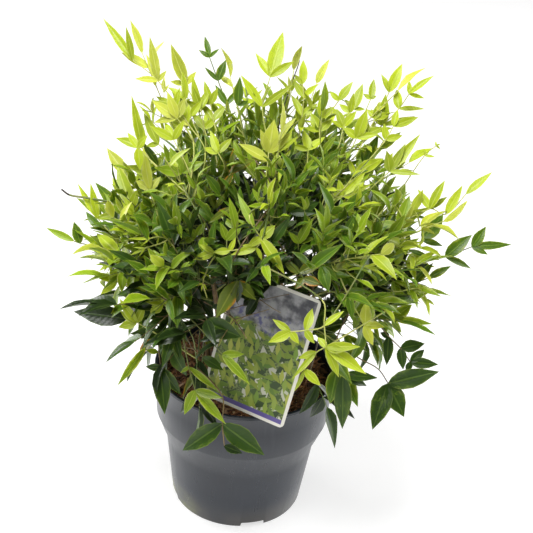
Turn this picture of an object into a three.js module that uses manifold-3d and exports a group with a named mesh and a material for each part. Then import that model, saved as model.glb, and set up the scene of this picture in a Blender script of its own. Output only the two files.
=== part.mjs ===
// Heavenly bamboo (Nandina domestica) in its nursery pot, in millimetres, +Z up.
// The origin is the centre of the pot's flat underside, and -Y is the plant's front.
// A clump of tapering canes stands in the bark-covered potting mix. Each spray of foliage is one
// compound leaf: a bare stalk that leaves its cane, then paired twigs with pointed leaflets.

import * as THREE from "three";
import { mergeVertices } from "three/addons/utils/BufferGeometryUtils.js";
import Module from "manifold-3d";

const wasm = await Module();
wasm.setup();

// ---- Driving dimensions ----

const GAP = 0.3;                       // clearance where two pieces touch

const POT = {
  height: 148, baseRadius: 65, rimRadius: 88,
  wall: 1.6, floor: 2.4, rimLip: 1.2, rimHeight: 3,
  shoulderLow: 72, shoulderHigh: 98,   // the wall flares out between these heights
  waistRadius: 74.2, collarRadius: 84,
  footEdge: 1.2,                       // the foot's rounded outer edge
  fillet: 4,                           // inside, where the wall meets the raised floor
  sides: 40,
};
// The pot stands on a flat pad and a foot ring, with a raised channel between them. Drain notches
// cut through the foot ring lead into the channel.
const CHANNEL = { inner: 46, outer: 63, height: 6, slope: 4, ringSlope: 1.2, thinner: 0.9 };
const NOTCH = { count: 4, width: 24, height: 5, depth: 10, azimuth: -72 };
const MIX = { top: 138, crown: 3, crownRadius: 0.55 };
const LABEL = {
  width: 84, height: 125, thick: 0.6, corner: 4.5,
  lean: 15, turn: -21.4, tilt: 5.8,    // leaning back, turned about the upright, tilted in its plane
  cornerX: 39.2, cornerY: -96.5,       // where its lower right corner overhangs the rim
  clear: 3,                            // how far leaves stay off its edges and faces
};

const CANES = {
  inner: { count: 3, azimuth: 70, foot: 12, spread: 26, top: 300, step: -12 },
  outer: { count: 6, azimuth: -5, foot: 34, spread: 60.5, top: 256, step: 7 },
  depth: 16, footRadius: 3.6, tipRadius: 2.2, sides: 6, steps: 5,
};

// The crown's sprays, tier by tier. A tier's sprays turn anticlockwise from its first azimuth to
// its last one. reach is each tip's distance from the heart of the crown, at that tier's rise.
// lift bends a stalk upwards at its foot, and lean turns its leaves up, or down where it is negative.
const HEART = new THREE.Vector3(10, 5, 215);
const TIERS = [
  {
    name: "crest", rise: 78, from: 80, to: 280, on: "inner", seat: 0.99,
    lift: 0.1, lean: 0.3, bare: 0.38, joints: 4, reach: [246, 214],
  },
  {
    name: "top", rise: 59, from: 14, to: 322, on: "inner", seat: 0.93,
    lift: 0.15, lean: 0.25, bare: 0.34, joints: 4, reach: [262, 240, 240, 284, 228, 204, 228],
  },
  {
    name: "upper", rise: 36, from: -4, to: 315, on: "outer", seat: 0.96,
    lift: 0.22, lean: 0.2, bare: 0.3, joints: 4, reach: [248, 230, 224, 226, 214, 208, 196, 190, 214],
  },
  {
    name: "middle", rise: 19, from: -8, to: 312, on: "outer", seat: 0.84,
    lift: 0.3, lean: 0.1, bare: 0.38, joints: 3, reach: [238, 226, 218, 214, 216, 210, 196, 182, 190],
  },
  {
    name: "low", rise: -18, from: -38, to: 250, on: "outer", seat: 0.66,
    lift: 0.8, lean: -0.2, bare: 0.46, joints: 3, reach: [166, 178, 180, 176, 166, 158, 150, 164],
  },
  {
    name: "inner", rise: 60, from: 60, to: 300, on: "inner", seat: 0.7,
    lift: 0, lean: 0.3, bare: 0.34, joints: 3, reach: [156, 150, 152],
  },
  {
    name: "core", rise: 32, from: 24, to: 330, on: "outer", seat: 0.78,
    lift: 0, lean: 0.25, bare: 0.3, joints: 3, reach: [134, 128, 130, 132, 138, 140, 138],
  },
  {
    name: "trailing", rise: -36, from: -112, to: -46, on: "outer", seat: 0.5,
    lift: 1.2, lean: -0.4, bare: 0.6, joints: 2, reach: [166, 164],
  },
];
const SPRAY = {
  stalkRadius: 1.3, tipRadius: 0.8, steps: 5, sides: 3,
  deepest: 4,                          // the most that a stalk's foot reaches back to its cane
  seatStep: 0.05,                      // every other spray of a tier sits this much lower on its cane
  lowerSeats: [0, 0.04, 0.08, 0.12],   // seats and lifts that are tried until the stalk is clear
  extraLifts: [0, 0.12, 0.24, 0.36, 0.48],
  jitter: 4,                           // degrees of seeded variation in each direction
  firstRoll: 40, roll: 48,             // how each pair of leaves turns on about the stalk
  tries: 4,                            // how often a twig or leaf is turned anew before it is skipped
};
const TWIG = {
  pairs: 1, length: 0.22, angle: 52, radius: 0.75, taper: 0.8, fork: 0.55,
  turnStep: 8, shorter: 0.15, loose: 0.15, looseStep: 0.1,
};
const LEAF = {
  length: 60, width: 21, thick: 1.3, shoulder: 0.4, fold: 0.14, sunk: 3, angle: 46,
  sideScale: 0.85,                     // side leaves are this much of a terminal one
  tipOverhang: 0.92,                   // the part of a terminal leaf that reaches past its stalk
  smaller: 0.11, loose: 0.15,          // a further try makes a leaf smaller and turns it more
};
const SPACE_MARGIN = 1.2;              // a spray's leaves stay this much nearer its own axis
const LIMB_MARGIN = 1.4;
const RIM_MARGIN = 3;
const SEED = 63;

// ---- Small helpers ----

const up = new THREE.Vector3(0, 0, 1);
const radians = THREE.MathUtils.degToRad;

function seeded(seed) {
  let state = seed;
  return () => {
    state = (state * 16807) % 2147483647;
    return state / 2147483647;
  };
}

function spread(random, amount) {
  return (2 * random() - 1) * amount;
}

function heading(azimuth, rise) {
  const a = radians(azimuth);
  const r = radians(rise);
  return new THREE.Vector3(Math.cos(r) * Math.cos(a), Math.cos(r) * Math.sin(a), Math.sin(r));
}

function closed(geometry) {
  const bare = geometry.clone();
  bare.deleteAttribute("normal");
  bare.deleteAttribute("uv");
  return mergeVertices(bare, 1e-4);
}

function signedVolume(geometry) {
  const p = geometry.attributes.position;
  const i = geometry.index.array;
  const [a, b, c] = [new THREE.Vector3(), new THREE.Vector3(), new THREE.Vector3()];
  let sum = 0;
  for (let k = 0; k < i.length; k += 3) {
    a.fromBufferAttribute(p, i[k]);
    b.fromBufferAttribute(p, i[k + 1]);
    c.fromBufferAttribute(p, i[k + 2]);
    sum += a.dot(b.cross(c)) / 6;
  }
  return sum;
}

function solid(geometry) {
  const bare = closed(geometry);
  const triangles = new Uint32Array(bare.index.array);
  if (signedVolume(bare) < 0) triangles.reverse();
  const vertices = new Float32Array(bare.attributes.position.array);
  return new wasm.Manifold(new wasm.Mesh({ numProp: 3, vertProperties: vertices, triVerts: triangles }));
}

function toGeometry(manifold) {
  const mesh = manifold.getMesh();
  const geometry = new THREE.BufferGeometry();
  geometry.setAttribute("position", new THREE.BufferAttribute(new Float32Array(mesh.vertProperties), 3));
  geometry.setIndex(new THREE.BufferAttribute(new Uint32Array(mesh.triVerts), 1));
  geometry.computeVertexNormals();
  return geometry;
}

// Joins solids pair by pair, and keeps the one body that they make.
function joined(solids) {
  let row = solids;
  while (row.length > 1) {
    const next = [];
    for (let k = 0; k < row.length; k += 2) next.push(k + 1 < row.length ? row[k].add(row[k + 1]) : row[k]);
    row = next;
  }
  const bodies = row[0].decompose();
  return bodies.reduce((best, body) => (body.volume() > best.volume() ? body : best));
}

// The point that lies beside a curve, by two distances square to it.
function beside(curve, t, first, second) {
  const start = curve.getTangent(0);
  const spare = Math.abs(start.z) < 0.9 ? up : new THREE.Vector3(1, 0, 0);
  const side = new THREE.Vector3().crossVectors(start, spare).normalize();
  const along = curve.getTangent(t);
  const across = side.addScaledVector(along, -side.dot(along)).normalize();
  const third = new THREE.Vector3().crossVectors(along, across);
  return curve.getPoint(t).addScaledVector(across, first).addScaledVector(third, second);
}

// The corners of a limb's section.
function ring(curve, t, radius, sides) {
  const turns = Array.from({ length: sides }, (_, k) => (k * 2 * Math.PI) / sides);
  return turns.map((turn) => beside(curve, t, radius * Math.sin(turn), radius * Math.cos(turn)));
}

// A tapering limb: a cylinder whose length is bent along a curve.
function limb(curve, footRadius, tipRadius, steps, sides) {
  const geometry = new THREE.CylinderGeometry(tipRadius, footRadius, 1, sides, steps);
  const place = geometry.attributes.position;
  for (let k = 0; k < place.count; k += 1) {
    const point = beside(curve, place.getY(k) + 0.5, place.getX(k), place.getZ(k));
    place.setXYZ(k, point.x, point.y, point.z);
  }
  return geometry;
}

function turned(profile, sides) {
  const points = profile.map(([radius, height]) => new THREE.Vector2(radius, height));
  return new THREE.LatheGeometry(points, sides).rotateX(Math.PI / 2);
}

// ---- Pot and potting mix ----

function outerRadius(height) {
  const { waistRadius, baseRadius, shoulderLow, shoulderHigh, collarRadius, rimRadius } = POT;
  if (height < shoulderLow) {
    return THREE.MathUtils.mapLinear(height, 0, shoulderLow, baseRadius, waistRadius);
  }
  if (height < shoulderHigh) {
    return THREE.MathUtils.mapLinear(height, shoulderLow, shoulderHigh, waistRadius, collarRadius);
  }
  return THREE.MathUtils.mapLinear(height, shoulderHigh, POT.height, collarRadius, rimRadius);
}

function innerRadius(height) {
  return outerRadius(height) - POT.wall;
}

// The upper face of the pot's floor, from the centre outwards, raised by a clearance.
function floorProfile(clear) {
  const { inner, height, slope, thinner } = CHANNEL;
  const { floor, fillet } = POT;
  const pad = floor + clear;
  const raised = height + pad;
  return [
    [0, pad], [inner - thinner - clear, pad], [inner + slope - thinner - clear, raised],
    [innerRadius(raised) - fillet / 2 - clear, raised],
    [innerRadius(raised + fillet) - clear, raised + fillet],
  ];
}

function pot() {
  const { height, rimLip, rimHeight, shoulderLow, shoulderHigh, rimRadius, wall, footEdge } = POT;
  const { inner, outer, slope, ringSlope } = CHANNEL;
  const underRim = height - rimHeight - 1;
  const profile = [
    [0, 0], [inner, 0], [inner + slope, CHANNEL.height], [outer - ringSlope, CHANNEL.height], [outer, 0],
    [outerRadius(0) - footEdge, 0], [outerRadius(footEdge), footEdge],
    [outerRadius(shoulderLow), shoulderLow], [outerRadius(shoulderHigh), shoulderHigh],
    [rimRadius - 1, underRim], [rimRadius, height - rimHeight], [rimRadius, height],
    [rimRadius - wall - rimLip, height], [innerRadius(underRim), underRim],
    [innerRadius(shoulderHigh), shoulderHigh], [innerRadius(shoulderLow), shoulderLow],
    ...floorProfile(0).reverse(),
  ];
  let body = solid(turned(profile, POT.sides));
  for (let k = 0; k < NOTCH.count; k += 1) {
    const cutter = new THREE.BoxGeometry(NOTCH.depth, NOTCH.width, 2 * NOTCH.height);
    cutter.translate(POT.baseRadius, 0, 0);
    cutter.rotateZ(radians(NOTCH.azimuth + (360 / NOTCH.count) * k));
    body = body.subtract(solid(cutter));
  }
  return toGeometry(body);
}

function pottingMix(canes) {
  const { top, crown, crownRadius } = MIX;
  const side = (height) => [innerRadius(height) - GAP, height];
  const [edge] = side(top);
  const profile = [
    ...floorProfile(GAP), side(POT.shoulderLow), side(POT.shoulderHigh), side(top),
    [crownRadius * edge, top + crown], [0, top + crown],
  ];
  let body = solid(turned(profile, POT.sides));
  const { footRadius, sides } = CANES;
  const socket = footRadius + GAP / Math.cos(Math.PI / sides);
  for (const { line } of canes) {
    const along = line[0].delta(new THREE.Vector3()).normalize();
    const foot = line[0].start.clone().addScaledVector(along, -2 * GAP);
    body = body.subtract(solid(limb(new THREE.LineCurve3(foot, line[0].end), socket, socket, 1, sides)));
  }
  return toGeometry(body);
}

// ---- Picture label ----

// Its right corner, its edge to the right, its edge upwards and its face's normal.
function labelFrame() {
  const lean = radians(LABEL.lean);
  const turn = radians(LABEL.turn);
  const tilt = radians(LABEL.tilt);
  const normal = new THREE.Vector3(
    Math.sin(turn) * Math.cos(lean), -Math.cos(turn) * Math.cos(lean), Math.sin(lean));
  const level = new THREE.Vector3().crossVectors(up, normal).normalize();
  const steep = new THREE.Vector3().crossVectors(normal, level);
  const right = level.clone().multiplyScalar(Math.cos(tilt)).addScaledVector(steep, -Math.sin(tilt));
  const tall = level.clone().multiplyScalar(Math.sin(tilt)).addScaledVector(steep, Math.cos(tilt));
  // The lower edge rests on the rim: it is the clearance above the rim where it crosses it.
  const corner = new THREE.Vector3(LABEL.cornerX, LABEL.cornerY, 0);
  const rimInside = POT.rimRadius - POT.wall - POT.rimLip - LABEL.clear;
  const rimOutside = POT.rimRadius + 1;
  let rise = 0;
  for (let s = 0; s <= 1; s += 0.01) {
    const point = corner.clone().addScaledVector(right, -LABEL.width * s);
    const radius = Math.hypot(point.x, point.y);
    if (radius > rimInside && radius < rimOutside) rise = Math.max(rise, POT.height + GAP - point.z);
  }
  corner.z = rise;
  return { corner, right, tall, normal };
}

function label() {
  const { width, height, thick, corner: round } = LABEL;
  const outline = new THREE.Shape();
  outline.moveTo(-width + round, 0);
  outline.lineTo(-round, 0);
  outline.absarc(-round, round, round, -Math.PI / 2, 0, false);
  outline.absarc(-round, height - round, round, 0, Math.PI / 2, false);
  outline.absarc(-width + round, height - round, round, Math.PI / 2, Math.PI, false);
  outline.absarc(-width + round, round, round, Math.PI, 1.5 * Math.PI, false);
  const options = { depth: thick, bevelEnabled: false, curveSegments: 3 };
  const sheet = new THREE.ExtrudeGeometry(outline, options);
  const { corner, right, tall, normal } = labelFrame();
  sheet.applyMatrix4(new THREE.Matrix4().makeBasis(right, tall, normal).setPosition(corner));
  return closed(sheet);
}

// ---- Canes ----

function makeCanes() {
  const canes = [];
  for (const ring of ["inner", "outer"]) {
    const { count, azimuth, foot, spread: reach, top, step } = CANES[ring];
    for (let k = 0; k < count; k += 1) {
      const turn = azimuth + (360 / count) * k;
      const way = heading(turn, 0);
      const root = way.clone().multiplyScalar(foot).setZ(MIX.top - CANES.depth);
      const tip = way.clone().multiplyScalar(reach).setZ(top + step * ((k * 2) % count));
      const bend = way.clone().multiplyScalar(1.08 * foot).setZ(THREE.MathUtils.lerp(root.z, tip.z, 0.45));
      const curve = new THREE.QuadraticBezierCurve3(root, bend, tip);
      canes.push({ ring, azimuth: turn, curve, line: chain(curve, CANES.steps) });
    }
  }
  return canes;
}

// A point on the cane's axis, which is straight from one of its steps to the next.
function onCane(cane, t) {
  const part = Math.min(Math.floor(t * CANES.steps), CANES.steps - 1);
  const low = cane.curve.getPoint(part / CANES.steps);
  const high = cane.curve.getPoint((part + 1) / CANES.steps);
  return low.lerp(high, t * CANES.steps - part);
}

function caneRadius(t) {
  return THREE.MathUtils.lerp(CANES.footRadius, CANES.tipRadius, t);
}

// How far a point lies outside the cane's faceted surface.
function offCane(cane, point) {
  const { steps, sides } = CANES;
  const distances = cane.line.map((part) => distanceToLine(point, [part]));
  const part = distances.indexOf(Math.min(...distances));
  const { start, end } = cane.line[part];
  const along = end.clone().sub(start).normalize();
  const share = cane.line[part].closestPointToPointParameter(point, true);
  const low = ring(cane.curve, part / steps, caneRadius(part / steps), sides);
  const high = ring(cane.curve, (part + 1) / steps, caneRadius((part + 1) / steps), sides);
  const corners = low.map((corner, k) => corner.lerp(high[k], share));
  return Math.max(...corners.map((corner, k) => {
    const edge = corners[(k + 1) % sides].clone().sub(corner);
    const outwards = edge.cross(along).normalize();
    if (outwards.dot(corner.clone().sub(start)) < 0) outwards.negate();
    return outwards.dot(point.clone().sub(corner));
  }));
}

// ---- Sprays of foliage ----

function angleBetween(a, b) {
  return Math.abs(((a - b + 540) % 360) - 180);
}

// The curve of a spray's axis: from its seat on the cane, first upwards, then over to its tip.
function makeAxis(cane, seat, tip, lift) {
  const centre = onCane(cane, seat);
  const chord = tip.clone().sub(centre);
  const start = chord.clone().normalize().addScaledVector(up, lift).normalize();
  const along = cane.curve.getTangent(seat);
  const out = start.clone().addScaledVector(along, -start.dot(along)).normalize();
  const slope = Math.sqrt(Math.max(0, 1 - out.dot(start) ** 2));
  const clear = caneRadius(seat) + GAP + SPRAY.stalkRadius * slope;
  const foot = centre.clone().addScaledVector(out, clear);
  const bend = foot.clone().addScaledVector(start, 0.5 * chord.length());
  return new THREE.QuadraticBezierCurve3(foot, bend, tip);
}

// The axis from the nearest cane, or bent higher, from a lower seat or from the next cane, until it
// is clear of the label, the canes and the axes that are there already.
function clearAxis(canes, own, seat, tip, lift, frame, axes) {
  const stalk = 2 * SPRAY.stalkRadius + LIMB_MARGIN;
  for (const cane of own) {
    for (const lower of SPRAY.lowerSeats) {
      for (const extra of SPRAY.extraLifts) {
        const curve = makeAxis(cane, seat - lower, tip, lift + extra);
        const points = curve.getPoints(60);
        if (points.some((point) => touchesLabel(point, frame))) continue;
        const meetsCane = canes.some((other) => other !== cane && points.some(
          (point) => distanceToLine(point, other.line) < CANES.footRadius + stalk / 2));
        if (meetsCane) continue;
        if (axes.some((line) => points.some((point) => distanceToLine(point, line) < stalk))) continue;
        return { cane, seat: seat - lower, curve };
      }
    }
  }
  return null;
}

// One row for each spray: its tier and the curve of its axis.
function makeSprays(canes, frame) {
  const random = seeded(SEED);
  const sprays = [];
  const axes = [];
  for (const tier of TIERS) {
    const count = tier.reach.length;
    for (let k = 0; k < count; k += 1) {
      const turn = THREE.MathUtils.lerp(tier.from, tier.to, k / (count - 1));
      const azimuth = turn + spread(random, SPRAY.jitter);
      const rise = tier.rise + spread(random, SPRAY.jitter);
      const tip = HEART.clone().addScaledVector(heading(azimuth, rise), tier.reach[k]);
      const own = canes.filter((cane) => cane.ring === tier.on);
      own.sort((a, b) => angleBetween(a.azimuth, azimuth) - angleBetween(b.azimuth, azimuth));
      const seat = tier.seat - SPRAY.seatStep * (k % 2);
      const axis = clearAxis(canes, own, seat, tip, tier.lift, frame, axes);
      if (!axis) continue;
      axes.push(chain(axis.curve, 12));
      sprays.push({ name: `spray_${tier.name}_${k + 1}`, tier, ...axis, length: axis.curve.getLength() });
    }
  }
  return sprays;
}

function touchesLabel(point, frame) {
  const from = point.clone().sub(frame.corner);
  const aside = -from.dot(frame.right);
  const height = from.dot(frame.tall);
  const off = from.dot(frame.normal);
  const { clear } = LABEL;
  const acrossIt = aside > -clear && aside < LABEL.width + clear;
  const upIt = height > -clear && height < LABEL.height + clear;
  return acrossIt && upIt && off > -clear && off < LABEL.thick + clear;
}

function distanceToLine(point, line) {
  let best = Infinity;
  const near = new THREE.Vector3();
  for (const part of line) {
    part.closestPointToPoint(point, true, near);
    best = Math.min(best, near.distanceTo(point));
  }
  return best;
}

function chain(curve, steps, first = 0, last = 1) {
  const at = (k) => curve.getPoint(THREE.MathUtils.lerp(first, last, k / steps));
  return Array.from({ length: steps }, (_, k) => new THREE.Line3(at(k), at(k + 1)));
}

function makeSpace(canes, sprays, frame) {
  const stalkLines = sprays.map((spray) => chain(spray.curve, 6, 0, spray.tier.bare));
  const leafyLines = sprays.map((spray) => chain(spray.curve, 6, spray.tier.bare - 0.06, 1));

  // Whether a point of a twig or leaf of one spray is clear of the limbs, the pot and the label.
  function clear(index, point) {
    const radius = Math.hypot(point.x, point.y);
    if (point.z < POT.height + RIM_MARGIN && radius < POT.rimRadius + RIM_MARGIN) return false;
    if (touchesLabel(point, frame)) return false;
    if (canes.some(({ line }) => distanceToLine(point, line) < CANES.footRadius + LIMB_MARGIN)) return false;
    const stalkClearance = SPRAY.stalkRadius + LIMB_MARGIN;
    return stalkLines.every((line, k) => k === index || distanceToLine(point, line) > stalkClearance);
  }

  // A spray's own space: what lies nearer the leafy part of its axis than any other's.
  function owns(index, point) {
    const own = distanceToLine(point, leafyLines[index]) + SPACE_MARGIN;
    return leafyLines.every((line, k) => k === index || distanceToLine(point, line) > own);
  }

  return { clear, owns };
}

// A pointed leaflet of eight faces, folded a little along its midrib.
function leafGeometry(base, along, face, length, width) {
  const across = new THREE.Vector3().crossVectors(face, along).normalize();
  const normal = new THREE.Vector3().crossVectors(along, across).normalize();
  const geometry = new THREE.OctahedronGeometry(1, 0);
  const place = geometry.attributes.position;
  for (let k = 0; k < place.count; k += 1) {
    const [x, y, z] = [place.getX(k), place.getY(k), place.getZ(k)];
    const point = base.clone();
    if (Math.abs(x) > 0.5) {
      point.addScaledVector(along, x > 0 ? length : 0);
    } else {
      point.addScaledVector(along, LEAF.shoulder * length);
      point.addScaledVector(across, (y * width) / 2);
      point.addScaledVector(normal, (z * LEAF.thick) / 2 + Math.abs(y) * LEAF.fold * width);
    }
    place.setXYZ(k, point.x, point.y, point.z);
  }
  return geometry;
}

function leafPoints(base, along, face, length, width) {
  const across = new THREE.Vector3().crossVectors(face, along).normalize();
  const points = [];
  for (let k = 1; k <= 10; k += 1) {
    const t = k / 10;
    const half = (width / 2) * Math.min(t / LEAF.shoulder, (1 - t) / (1 - LEAF.shoulder));
    const middle = base.clone().addScaledVector(along, t * length);
    points.push(middle);
    points.push(middle.clone().addScaledVector(across, half));
    points.push(middle.clone().addScaledVector(across, -half));
  }
  return points;
}

// The curve of a spray's stalk, whose foot reaches back until it is a clearance off its cane.
function stalkCurve({ cane, curve }, last) {
  const { steps, sides, stalkRadius } = SPRAY;
  const reaching = (depth) => {
    const places = Array.from({ length: steps + 1 }, (_, k) => curve.getPoint((last * k) / steps));
    places[0].addScaledVector(curve.getTangent(0), -depth);
    return new THREE.CatmullRomCurve3(places);
  };
  const clears = (depth) => {
    const corners = ring(reaching(depth), 0, stalkRadius, sides);
    const next = (k) => corners[(k + 1) % sides];
    const onEdges = (share) => corners.map((corner, k) => corner.clone().lerp(next(k), share));
    return [0, 0.2, 0.4, 0.6, 0.8].flatMap(onEdges).every((point) => offCane(cane, point) > GAP);
  };
  const step = 0.05;
  let depth = 0;
  while (depth < SPRAY.deepest && clears(depth + step)) depth += step;
  return reaching(depth);
}

// Grows a spray: its axis, then twigs in pairs, then leaflets in pairs and one at each end.
function grow(spray, index, space) {
  const random = seeded(SEED + 101 * (index + 1));
  const { steps, sides, stalkRadius, tipRadius } = SPRAY;
  const { curve, tier, length } = spray;
  const solids = [];

  function allowed(points) {
    return points.every((point) => space.clear(index, point) && space.owns(index, point));
  }

  // Sets a leaf at a joint, and turns it anew or shortens it where it would touch something.
  function addLeaf(joint, way, back, face, size) {
    for (let k = 0; k < SPRAY.tries; k += 1) {
      const scale = size * (1.05 - LEAF.smaller * k) * (1 + spread(random, 0.08));
      const leafLength = LEAF.length * scale;
      const width = LEAF.width * scale * (1 + spread(random, 0.08));
      const loose = LEAF.loose * (1 + k);
      const tilted = way.clone().addScaledVector(up, tier.lean + spread(random, loose)).normalize();
      tilted.addScaledVector(new THREE.Vector3(spread(random, 1), spread(random, 1), 0), loose).normalize();
      if (allowed(leafPoints(joint, tilted, face, leafLength, width))) {
        const root = joint.clone().addScaledVector(back, -LEAF.sunk);
        const along = joint.clone().addScaledVector(tilted, leafLength).sub(root);
        solids.push(solid(leafGeometry(root, along.clone().normalize(), face, along.length(), width)));
        return 1;
      }
    }
    return 0;
  }

  function addTwig(joint, along, side, face, hand, reach) {
    for (let k = 0; k < SPRAY.tries; k += 1) {
      const angle = radians(TWIG.angle + spread(random, 10 + TWIG.turnStep * k));
      const way = along.clone().multiplyScalar(Math.cos(angle)).addScaledVector(side, hand * Math.sin(angle));
      way.addScaledVector(up, 0.5 * tier.lean + spread(random, TWIG.loose + TWIG.looseStep * k)).normalize();
      const tip = joint.clone().addScaledVector(way, reach * (1 - TWIG.shorter * k));
      const line = new THREE.LineCurve3(joint, tip);
      if (!allowed([0.35, 0.6, 0.8, 1].map((s) => line.getPoint(s)))) continue;
      const before = solids.length;
      solids.push(solid(limb(line, TWIG.radius, TWIG.taper * TWIG.radius, 1, sides)));
      let leaves = addLeaf(tip, way, way, face, 1);
      for (const turn of [1, -1]) {
        const leafWay = way.clone().applyAxisAngle(face, turn * radians(LEAF.angle + spread(random, 8)));
        leaves += addLeaf(line.getPoint(TWIG.fork), leafWay, way, face, LEAF.sideScale);
      }
      if (leaves > 0) return;
      solids.length = before;
    }
  }

  const last = 1 - (LEAF.tipOverhang * LEAF.length) / length;
  solids.push(solid(limb(stalkCurve(spray, last), stalkRadius, tipRadius, steps, sides)));

  const firstRoll = spread(random, SPRAY.firstRoll);
  for (let k = 0; k < tier.joints; k += 1) {
    const t = THREE.MathUtils.lerp(tier.bare, last, k / (tier.joints - 1));
    const joint = curve.getPoint(t);
    const along = curve.getTangent(t);
    const level = new THREE.Vector3().crossVectors(along, up).normalize();
    const side = level.applyAxisAngle(along, radians(firstRoll + k * SPRAY.roll));
    const face = new THREE.Vector3().crossVectors(side, along);
    if (face.z < 0) face.negate();
    face.addScaledVector(up, 0.5).normalize();
    for (const hand of [1, -1]) {
      if (k < TWIG.pairs) {
        const reach = length * TWIG.length * (1.2 - 0.5 * t) * (1 + spread(random, 0.15));
        addTwig(joint, along, side, face, hand, reach);
      } else {
        const way = along.clone().addScaledVector(side, hand * Math.tan(radians(TWIG.angle))).normalize();
        addLeaf(joint, way, along, face, LEAF.sideScale);
      }
    }
  }
  addLeaf(curve.getPoint(last), curve.getTangent(last), curve.getTangent(last), up, 1);
  return toGeometry(joined(solids));
}

// ---- The plant in its pot ----

const finishes = {
  pot: new THREE.MeshStandardMaterial({ color: "#3d434b", roughness: 0.45, metalness: 0 }),
  mix: new THREE.MeshStandardMaterial({ color: "#3a2416", roughness: 0.95, metalness: 0 }),
  label: new THREE.MeshStandardMaterial({ color: "#d8d6d2", roughness: 0.3, metalness: 0 }),
  cane: new THREE.MeshStandardMaterial({ color: "#6b5a35", roughness: 0.7, metalness: 0 }),
  lime: new THREE.MeshStandardMaterial({ color: "#a9c93a", roughness: 0.5, metalness: 0 }),
  fresh: new THREE.MeshStandardMaterial({ color: "#5d9a2a", roughness: 0.45, metalness: 0 }),
  dark: new THREE.MeshStandardMaterial({ color: "#1f4a1f", roughness: 0.35, metalness: 0 }),
};
const TIER_FINISH = {
  crest: "lime", top: "lime", upper: "lime", middle: "fresh", low: "dark", inner: "fresh", core: "dark",
  trailing: "dark",
};

function named(name, geometry, finish) {
  const mesh = new THREE.Mesh(geometry, finishes[finish]);
  mesh.name = name;
  return mesh;
}

const canes = makeCanes();
const frame = labelFrame();
const sprays = makeSprays(canes, frame);
const space = makeSpace(canes, sprays, frame);

const plant = new THREE.Group();
plant.add(named("pot", pot(), "pot"));
plant.add(named("potting_mix", pottingMix(canes), "mix"));
plant.add(named("picture_label", label(), "label"));
canes.forEach((cane, k) => {
  const stick = solid(limb(cane.curve, CANES.footRadius, CANES.tipRadius, CANES.steps, CANES.sides));
  plant.add(named(`cane_${k + 1}`, toGeometry(stick), "cane"));
});
sprays.forEach((spray, k) => {
  plant.add(named(spray.name, grow(spray, k, space), TIER_FINISH[spray.tier.name]));
});

export default plant;
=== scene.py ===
# Heavenly bamboo in its nursery pot: the finished looks of every piece, in metres, +Z up.
# The growth rule works in millimetres, and millimetres become metres where a mesh is made.
# -Y is the plant's front, and the origin is the centre of the pot's flat underside.

import math
from functools import reduce

import bpy
import numpy as np
from mathutils import Matrix, Vector


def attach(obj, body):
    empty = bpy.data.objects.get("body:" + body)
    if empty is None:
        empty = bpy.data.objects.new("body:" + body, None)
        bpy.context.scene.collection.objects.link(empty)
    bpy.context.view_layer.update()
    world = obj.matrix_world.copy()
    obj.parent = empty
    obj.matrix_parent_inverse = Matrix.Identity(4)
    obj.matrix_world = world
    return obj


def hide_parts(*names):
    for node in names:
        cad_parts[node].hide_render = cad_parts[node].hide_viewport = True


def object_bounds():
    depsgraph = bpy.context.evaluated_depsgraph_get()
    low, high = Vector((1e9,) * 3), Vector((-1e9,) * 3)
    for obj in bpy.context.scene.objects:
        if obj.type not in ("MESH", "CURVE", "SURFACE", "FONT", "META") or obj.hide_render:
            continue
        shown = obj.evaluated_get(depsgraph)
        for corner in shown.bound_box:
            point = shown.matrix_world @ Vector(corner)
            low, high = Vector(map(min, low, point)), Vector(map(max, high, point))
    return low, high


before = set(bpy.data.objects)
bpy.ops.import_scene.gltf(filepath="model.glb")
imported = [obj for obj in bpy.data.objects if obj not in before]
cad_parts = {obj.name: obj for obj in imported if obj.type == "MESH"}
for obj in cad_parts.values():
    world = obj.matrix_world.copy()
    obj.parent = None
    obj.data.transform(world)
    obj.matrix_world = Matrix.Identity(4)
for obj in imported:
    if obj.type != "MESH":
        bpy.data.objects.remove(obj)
cad_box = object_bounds()

# ---- Driving dimensions, in millimetres and degrees ----

MM = 0.001
UP = np.array([0.0, 0.0, 1.0])
GAP = 0.3

POT = {
    "height": 148, "base_radius": 65, "rim_radius": 88, "wall": 1.6, "floor": 2.4,
    "rim_lip": 1.2, "rim_height": 3, "foot_edge": 1.2, "fillet": 4,
    "shoulder_low": 72, "shoulder_high": 98, "waist_radius": 74.2, "collar_radius": 84,
    "sides": 128,
}
CHANNEL = {"inner": 46, "outer": 63, "height": 6, "slope": 4, "ring_slope": 1.2, "thinner": 0.9}
NOTCH = {"count": 4, "width": 24, "height": 5, "depth": 10, "azimuth": -72}
MIX = {"top": 138, "crown": 3, "crown_radius": 0.55, "bark": 1.5, "lumps": (-1.4, 1.0)}
LABEL = {
    "width": 84, "height": 125, "thick": 0.6, "corner": 4.5, "lean": 15, "turn": -21.4,
    "tilt": 5.8, "corner_x": 39.2, "corner_y": -96.5, "clear": 3, "bow": 2.5, "border": 2.8,
}
CANES = {
    "inner": {"count": 3, "azimuth": 70, "foot": 12, "spread": 26, "top": 300, "step": -12},
    "outer": {"count": 6, "azimuth": -5, "foot": 34, "spread": 60.5, "top": 256, "step": 7},
    "depth": 16, "foot_radius": 3.6, "tip_radius": 2.2, "steps": 5,
}
# The canes' skin: its rings and sides, its joints and the old leaf sheaths above them, and its relief.
CANE_SKIN = {
    "rings": 90, "sides": 18, "slimmer": 0.9, "joints": 7, "swelling": 0.16, "joint_length": 0.06,
    "sheath": 0.05, "furrow": 0.035, "ridge": 0.05, "ridges": 4,
}
HEART = np.array([10.0, 5.0, 215.0])

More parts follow.
